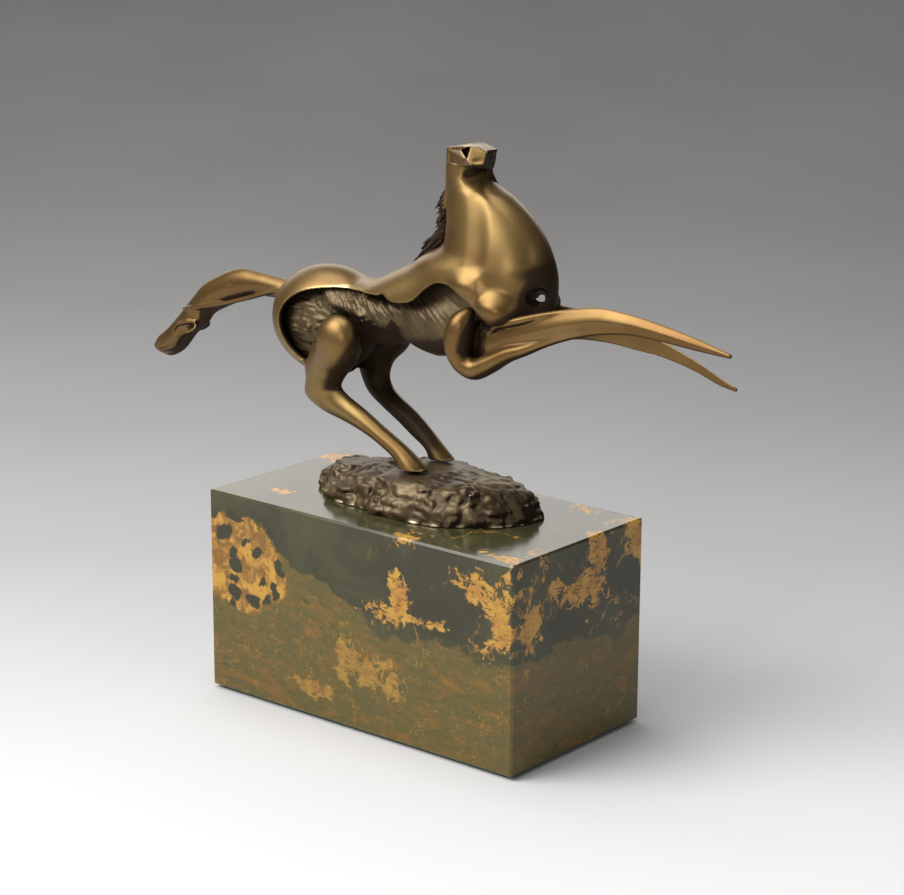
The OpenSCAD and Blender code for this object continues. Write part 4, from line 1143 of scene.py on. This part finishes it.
def hullField(own, corners, k=0.25):  # the convex block round some corners, from its faces' planes
    bm = bmesh.new()
    verts = [bm.verts.new(c) for c in corners]
    bmesh.ops.convex_hull(bm, input=verts)
    planes = {}
    middle = np.mean(np.array(corners), axis=0)
    for face in bm.faces:
        n = np.array(face.normal)
        d = float(n @ np.array(face.verts[0].co))
        if n @ middle > d:
            n, d = -n, -d
        planes[tuple(np.round((*n, d), 2))] = (n, d)
    bm.free()
    field = None
    for n, d in planes.values():
        plane = (own["x"] * n[0] + own["y"] * n[1] + own["z"] * n[2] - d).astype(np.float32)
        field = plane if field is None else overlap(field, plane, k)
    return field


def makeHead(shape):
    axes = headAxes(shape)
    own = makeGrid((8, -20, 98), (44, 16, 126), shape["step"])

    def toBody(rows):
        return [(*(np.array(shape["poll"]) + np.array(r[:3]) @ axes), *r[3:]) for r in rows]

    def headEgg(key):  # its radii are across, up and ahead in the head's own directions
        centre, radii = shape[key]
        radii = (radii[0], radii[2], radii[1])
        return egg(own, toBody([centre])[0], radii, 0, shape["turn"] + 90)

    field = hullField(own, toBody(shape["muzzle"]))
    for key in ("cheek", "earLeft", "earRight", "flap"):
        field = blendIn(field, hullField(own, toBody(shape[key])), 0.35)
    field = blendIn(field, headEgg("skull"), 0.8)
    field = blendIn(field, tube(own, shape["nape"]), 0.8)
    field = carve(field, hullField(own, toBody(shape["nostril"])), 0.3)
    for key in ("face", "flapDish"):
        field = carve(field, headEgg(key), 0.4)
    field = blendIn(field, tube(own, toBody(shape["crest"])), 1.6)
    field = blendIn(field, tube(own, toBody(shape["throatEdge"])), 1.0)
    fieldPiece("horseHead", field, own, smoothBronze, ["head"])


makeHead(headShape)
print("stage: head is made")

# the tail is a leaf with a sharp ridge along its upper half and curled ridges towards its tip
tailShape = {
    "letIn": 0.5,  # the root goes this far into the haunch
    "step": 0.3,
    "leaf": [
        (-62, 0, 60.6, -64.6, 0, 53.8, 3.4), (-76, 0, 61.6, -77, 0, 53.2, 3.2),
        (-84, 0, 62.2, -84.5, 0, 52.6, 3.4),
        (-93.3, 0, 62.4, -94, 0, 49.2, 3.8), (-102, 0, 59.9, -101.5, 0, 46.0, 4.0),
        (-113.5, 0, 54, -109, 0, 42.1, 4.1),
        (-120.5, 0, 47.3, -113.8, 0, 36.8, 4.1), (-127.5, 0, 40, -119.8, 0, 32.0, 3.9),
        (-135, 0, 32.8, -126.5, 0, 24.8, 3.4), (-141, 0, 28.2, -134, 0, 21.0, 2.6),
        (-144, 0, 24.4, -140.6, 0, 21.6, 1.2)],
    "ridge": [(-124.2, -3.0, 42.2, 0.4), (-120.5, -3.5, 43.2, 0.7), (-110, -3.9, 45.6, 0.9),
        (-99.6, -3.8, 48.2, 0.9),
              (-88.6, -3.3, 51.6, 0.9), (-77.6, -3.0, 55.4, 0.8), (-70, -2.6, 57.6, 0.5)],
    "underRidge": [(-119, -6.6, 40.6, 2.6), (-110, -7.0, 42.2, 3.0), (-99, -6.8, 44.6, 3.0),
        (-88, -6.0, 48.4, 2.8),
                   (-78, -5.4, 52.2, 2.4), (-71, -5.2, 54.0, 1.8)],
    "curls": [
        [(-129.4, -3.0, 31.0, 0.4), (-128.6, -3.5, 33.4, 0.6), (-126.2, -3.8, 35.8, 0.7),
         (-121, -4.0, 37.6, 0.7), (-116.6, -3.8, 38.2, 0.6)],
        [(-116.4, -3.6, 38.0, 0.5), (-116.2, -3.7, 36.2, 0.6), (-118.4, -3.7, 34.4, 0.7),
         (-123.4, -3.8, 32.4, 0.7),
         (-126.0, -3.7, 29.8, 0.7), (-128.4, -3.5, 26.8, 0.7), (-133, -3.1, 24.6, 0.6),
         (-139, -2.2, 22.8, 0.4)]],
    "curlGroove": [(-126.2, -5.6, 33.6, 1.5), (-122, -6.0, 35.6, 1.6), (-118.2, -5.8, 36.2, 1.2)],
    "hollow": ((-110.4, -4.6, 40.4), (4.0, 2.8, 2.6), -20, 0),
    "nick": ((-96.4, -4.6, 55.6), (2.4, 1.1, 0.9), 15, 0),
    # painted shade in the tail's hollow and round its curls
    "paintedShadeSpots": [((-110.4, -4, 40.4), (3.2, 4, 2.6), 0.8), ((-132, -4, 30), (8, 4, 5), 0.2)],
}


def makeTail(shape):
    own = makeGrid((-146, -6.5, 18), (-60, 6.5, 66), shape["step"])
    field = limb(own, shape["leaf"], 1.75, 8)
    for side in (list, mirrored):
        field = carve(field, tube(own, side(shape["underRidge"])), 1.4)
        field = carve(field, tube(own, side(shape["curlGroove"])), 0.8)
        field = blendIn(field, tube(own, side(shape["ridge"])), 0.9)
        for curl in shape["curls"]:
            field = blendIn(field, tube(own, side(curl)), 0.8)
        for key in ("hollow", "nick"):
            centre, radii, tilt, turn = shape[key]
            field = carve(field, egg(own, side([centre])[0], radii, tilt, turn), 0.5)
    haunch = egg(own, *skinShape["haunch"])
    field = np.maximum(field, -haunch - shape["letIn"])
    fieldPiece("leafTail", field, own, smoothBronze, ["tail"], None, shape["paintedShadeSpots"])


makeTail(tailShape)
print("stage: tail is made")

# the mane is a slab of locks that lie over each other, with a few loose ones above
maneShape = {
    "root": [  # x, z, length of the lock that starts there
        (7.5, 78.5, 8.5), (9.5, 82, 12.0), (11.6, 86, 12.6), (12.8, 89.6, 13.4), (13.2, 91.8, 13.2),
        (13.3, 93.0, 8.0),
        (13.4, 95.6, 7.6), (13.4, 98.2, 6.2), (13.4, 101, 7.4), (13.5, 103.4, 6.2), (13.6, 106, 3.4)],
    "rows": (-2.2, 0.0, 2.2),
    "count": 34,
    "lockWidth": 0.0044,
    "lockThickness": 0.0017,
    "droop": 24.0,
    "seed": 5,
}


def makeLockTree(material):
    tree = bpy.data.node_groups.new("maneLocks", "GeometryNodeTree")
    tree.interface.new_socket("Geometry", in_out="INPUT", socket_type="NodeSocketGeometry")
    for label, kind in (("Lock Count", "Int"), ("Lock Width", "Float"), ("Lock Thickness", "Float"),
                        ("Droop", "Float"), ("Seed", "Int")):
        tree.interface.new_socket(label, in_out="INPUT", socket_type="NodeSocket" + kind)
    tree.interface.new_socket("Geometry", in_out="OUTPUT", socket_type="NodeSocketGeometry")
    got = nodeIn(tree, "NodeGroupInput").outputs
    put = nodeIn(tree, "NodeGroupOutput").inputs
    crest = nodeIn(tree, "GeometryNodeMeshToCurve")
    plug(tree, crest.inputs["Mesh"], got["Geometry"])
    spread = nodeIn(tree, "GeometryNodeResampleCurve")
    plug(tree, spread.inputs["Curve"], crest.outputs["Curve"])
    plug(tree, spread.inputs["Count"], got["Lock Count"])
    # one lock: a long cone lying back from its root, flattened and bent a little down
    cone = nodeIn(tree, "GeometryNodeMeshCone")
    fill(tree, cone.inputs, Vertices=9, Side_Segments=9, Radius_Top=0.12, Radius_Bottom=0.5, Depth=1.0)
    laid = nodeIn(tree, "GeometryNodeTransform")
    laid.inputs["Rotation"].default_value = (0, math.radians(-90), 0)
    plug(tree, laid.inputs["Geometry"], cone.outputs["Mesh"])
    spot = nodeIn(tree, "GeometryNodeInputPosition").outputs[0]
    parts = nodeIn(tree, "ShaderNodeSeparateXYZ")
    plug(tree, parts.inputs[0], spot)
    sag = nodeIn(tree, "ShaderNodeCombineXYZ")
    bend = times(tree, times(tree, parts.outputs["X"], parts.outputs["X"]), -0.9)
    plug(tree, sag.inputs["Z"], bend)
    bent = nodeIn(tree, "GeometryNodeSetPosition")
    plug(tree, bent.inputs["Geometry"], laid.outputs["Geometry"])
    plug(tree, bent.inputs["Offset"], sag.outputs[0])
    # painted shade: each lock is darker towards its thick root end, where the locks over it would shade it
    shade = nodeIn(tree, "GeometryNodeStoreNamedAttribute", data_type="FLOAT", domain="POINT")
    shade.inputs["Name"].default_value = "hollow"
    plug(tree, shade.inputs["Geometry"], bent.outputs["Geometry"])
    plug(tree, shade.inputs["Value"], remap(tree, parts.outputs["X"], -0.9, 0.0, 0.05, 0.75, smooth=False))
    length = nodeIn(tree, "GeometryNodeInputNamedAttribute", data_type="FLOAT")
    length.inputs["Name"].default_value = "reach"

    def chance(low, high, number):
        made = nodeIn(tree, "FunctionNodeRandomValue", data_type="FLOAT")
        made.inputs[2].default_value = low
        made.inputs[3].default_value = high
        plug(tree, made.inputs["Seed"], plus(tree, got["Seed"], number))
        return made.outputs[1]

    size = nodeIn(tree, "ShaderNodeCombineXYZ")
    plug(tree, size.inputs["X"], times(tree, length.outputs[0], chance(0.72, 1.12, 1)))
    plug(tree, size.inputs["Y"], times(tree, got["Lock Width"], chance(0.7, 1.3, 2)))
    plug(tree, size.inputs["Z"], times(tree, got["Lock Thickness"], chance(0.7, 1.7, 3)))
    turn = nodeIn(tree, "ShaderNodeCombineXYZ")
    plug(tree, turn.inputs["X"], chance(-0.5, 0.5, 4))
    plug(tree, turn.inputs["Y"], plus(tree, times(tree, got["Droop"], -1.0), chance(-0.16, 0.16, 5)))
    plug(tree, turn.inputs["Z"], chance(-0.22, 0.22, 6))
    strewn = nodeIn(tree, "GeometryNodeInstanceOnPoints")
    fill(tree, strewn.inputs, Points=spread.outputs["Curve"], Instance=shade.outputs["Geometry"],
         Rotation=turn.outputs[0], Scale=size.outputs[0])
    real = nodeIn(tree, "GeometryNodeRealizeInstances")
    plug(tree, real.inputs["Geometry"], strewn.outputs["Instances"])
    knobs = nodeIn(tree, "ShaderNodeTexNoise")
    plug(tree, knobs.inputs["Vector"], nodeIn(tree, "GeometryNodeInputPosition").outputs[0])
    fill(tree, knobs.inputs, Scale=700.0, Detail=2.0)
    jitter = nodeIn(tree, "ShaderNodeVectorMath", operation="MULTIPLY_ADD")
    plug(tree, jitter.inputs[0], knobs.outputs["Color"])
    jitter.inputs[1].default_value = (0.0012, 0.0012, 0.0012)
    jitter.inputs[2].default_value = (-0.0006, -0.0006, -0.0006)
    rough = nodeIn(tree, "GeometryNodeSetPosition")
    plug(tree, rough.inputs["Geometry"], real.outputs["Geometry"])
    plug(tree, rough.inputs["Offset"], jitter.outputs[0])
    coat = nodeIn(tree, "GeometryNodeSetMaterial")
    coat.inputs["Material"].default_value = material
    plug(tree, coat.inputs["Geometry"], rough.outputs["Geometry"])
    plug(tree, put["Geometry"], coat.outputs["Geometry"])
    return tree


def makeMane(shape):
    points, edges, lengths = [], [], []
    for y in shape["rows"]:
        start = len(points)
        for x, z, length in shape["root"]:
            points.append(((x + 0.4) * mm, y * mm, (z + seatZ) * mm))
            lengths.append(length * mm)
        edges += [(i, i + 1) for i in range(start, len(points) - 1)]
    line = bpy.data.meshes.new("maneCrest")
    line.from_pydata(points, edges, [])
    reach = line.attributes.new("reach", "FLOAT", "POINT")
    reach.data.foreach_set("value", lengths)
    crest = bpy.data.objects.new("maneCrest", line)
    bpy.context.scene.collection.objects.link(crest)
    tree = makeLockTree(roughBronze)
    growth = crest.modifiers.new("locks", "NODES")
    growth.node_group = tree
    sockets = {item.name: item.identifier for item in tree.interface.items_tree if item.in_out == "INPUT"}
    for label, value in (("Lock Count", shape["count"]), ("Lock Width", shape["lockWidth"]),
                         ("Lock Thickness", shape["lockThickness"]), ("Seed", shape["seed"]),
                         ("Droop", math.radians(shape["droop"]))):
        growth[sockets[label]] = value
    grown = bpy.data.meshes.new_from_object(crest.evaluated_get(bpy.context.evaluated_depsgraph_get()))
    bpy.data.objects.remove(crest)
    grown.name = "maneLocks"
    grown.shade_smooth()
    mane = bpy.data.objects.new("maneLocks", grown)
    bpy.context.scene.collection.objects.link(mane)
    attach(mane, "root")
    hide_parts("mane")
    print("piece: maneLocks", len(grown.polygons), "faces")


makeMane(maneShape)
print("stage: mane is made")

# cast ground: lumpy, with tool strokes over its top and gouges down its wall
groundShape = {
    "step": 0.4,
    "foot": [  # outline on the stone, x and y
        (-52, 4), (-50.6, -3.5), (-46, -8.2), (-38, -15.4), (-30, -19.4), (-21, -20.4), (-12, -22.6),
        (-3, -24.6),
        (9.6, -24.4), (22, -22), (32, -17), (39, -11), (46.2, -3), (49, 6), (48.2, 15), (41, 21),
        (28, 24.4), (10, 25.6),
        (-12, 25), (-32, 22.6), (-45, 16.4), (-51, 10)],
    "crown": [(-54, -9.5), (-46, -7.2), (-32, -4.6), (-14, -1.8), (2, -0.4), (18, -1.0), (30, -2.0),
        (40, -5.0), (48, -8.5)],
    "hooves": (2.6, 9),
    "fall": 3.0,       # how much lower the top is at the sides
    "shoulder": 8.0,   # roundness between top and wall
}


def makeGround(shape):
    low = -hoofRise
    own = makeGrid((-55, -28, low - 0.8), (50, 28, 3), shape["step"])
    edge = outlineDistance(own, shape["foot"] + shape["foot"][:1], 1)
    curve = smoothCurve(shape["crown"], 8)
    height = np.interp(own["axes"][0], curve[:, 0], curve[:, 1]).astype(np.float32)[:, None, None]
    top = own["z"] - (height - shape["fall"] * (own["y"] / 22) ** 2)
    wall = edge + (own["z"] - low) * 0.22  # it leans in a little
    field = overlap(top, wall, shape["shoulder"])
    lumps = ripple(own, (10, 9, 5), 21) * 1.3 + ripple(own, (4.4, 3.8, 3.4), 22, True) * 0.7
    strokes = ripple(own, (4.6, 1.9, 1.8), 23, True) * 0.36 + ripple(own, (2.2, 1.2, 1.2), 24) * 0.22
    gouges = ripple(own, (5.0, 5.0, 3.2), 25, True) * 0.8 + ripple(own, (1.7, 1.7, 1.9), 26) * 0.35
    onWall = np.clip((top * -1 - 1.0) / 3.0, 0, 1)
    hoofX, hoofY = shape["hooves"]
    fromHoof = np.hypot(own["x"] - hoofX, np.abs(own["y"]) - hoofY)
    calm = np.clip((fromHoof - 8) / 4, 0.15, 1)  # calmer round the hooves
    field = field + (lumps + strokes * (1 - onWall) + gouges * onWall) * calm * 0.85
    field = np.maximum(field, low - own["z"])
    fieldPiece("castGround", field.astype(np.float32), own, groundBronze, ["ground"])


makeGround(groundShape)
print("stage: ground is made")
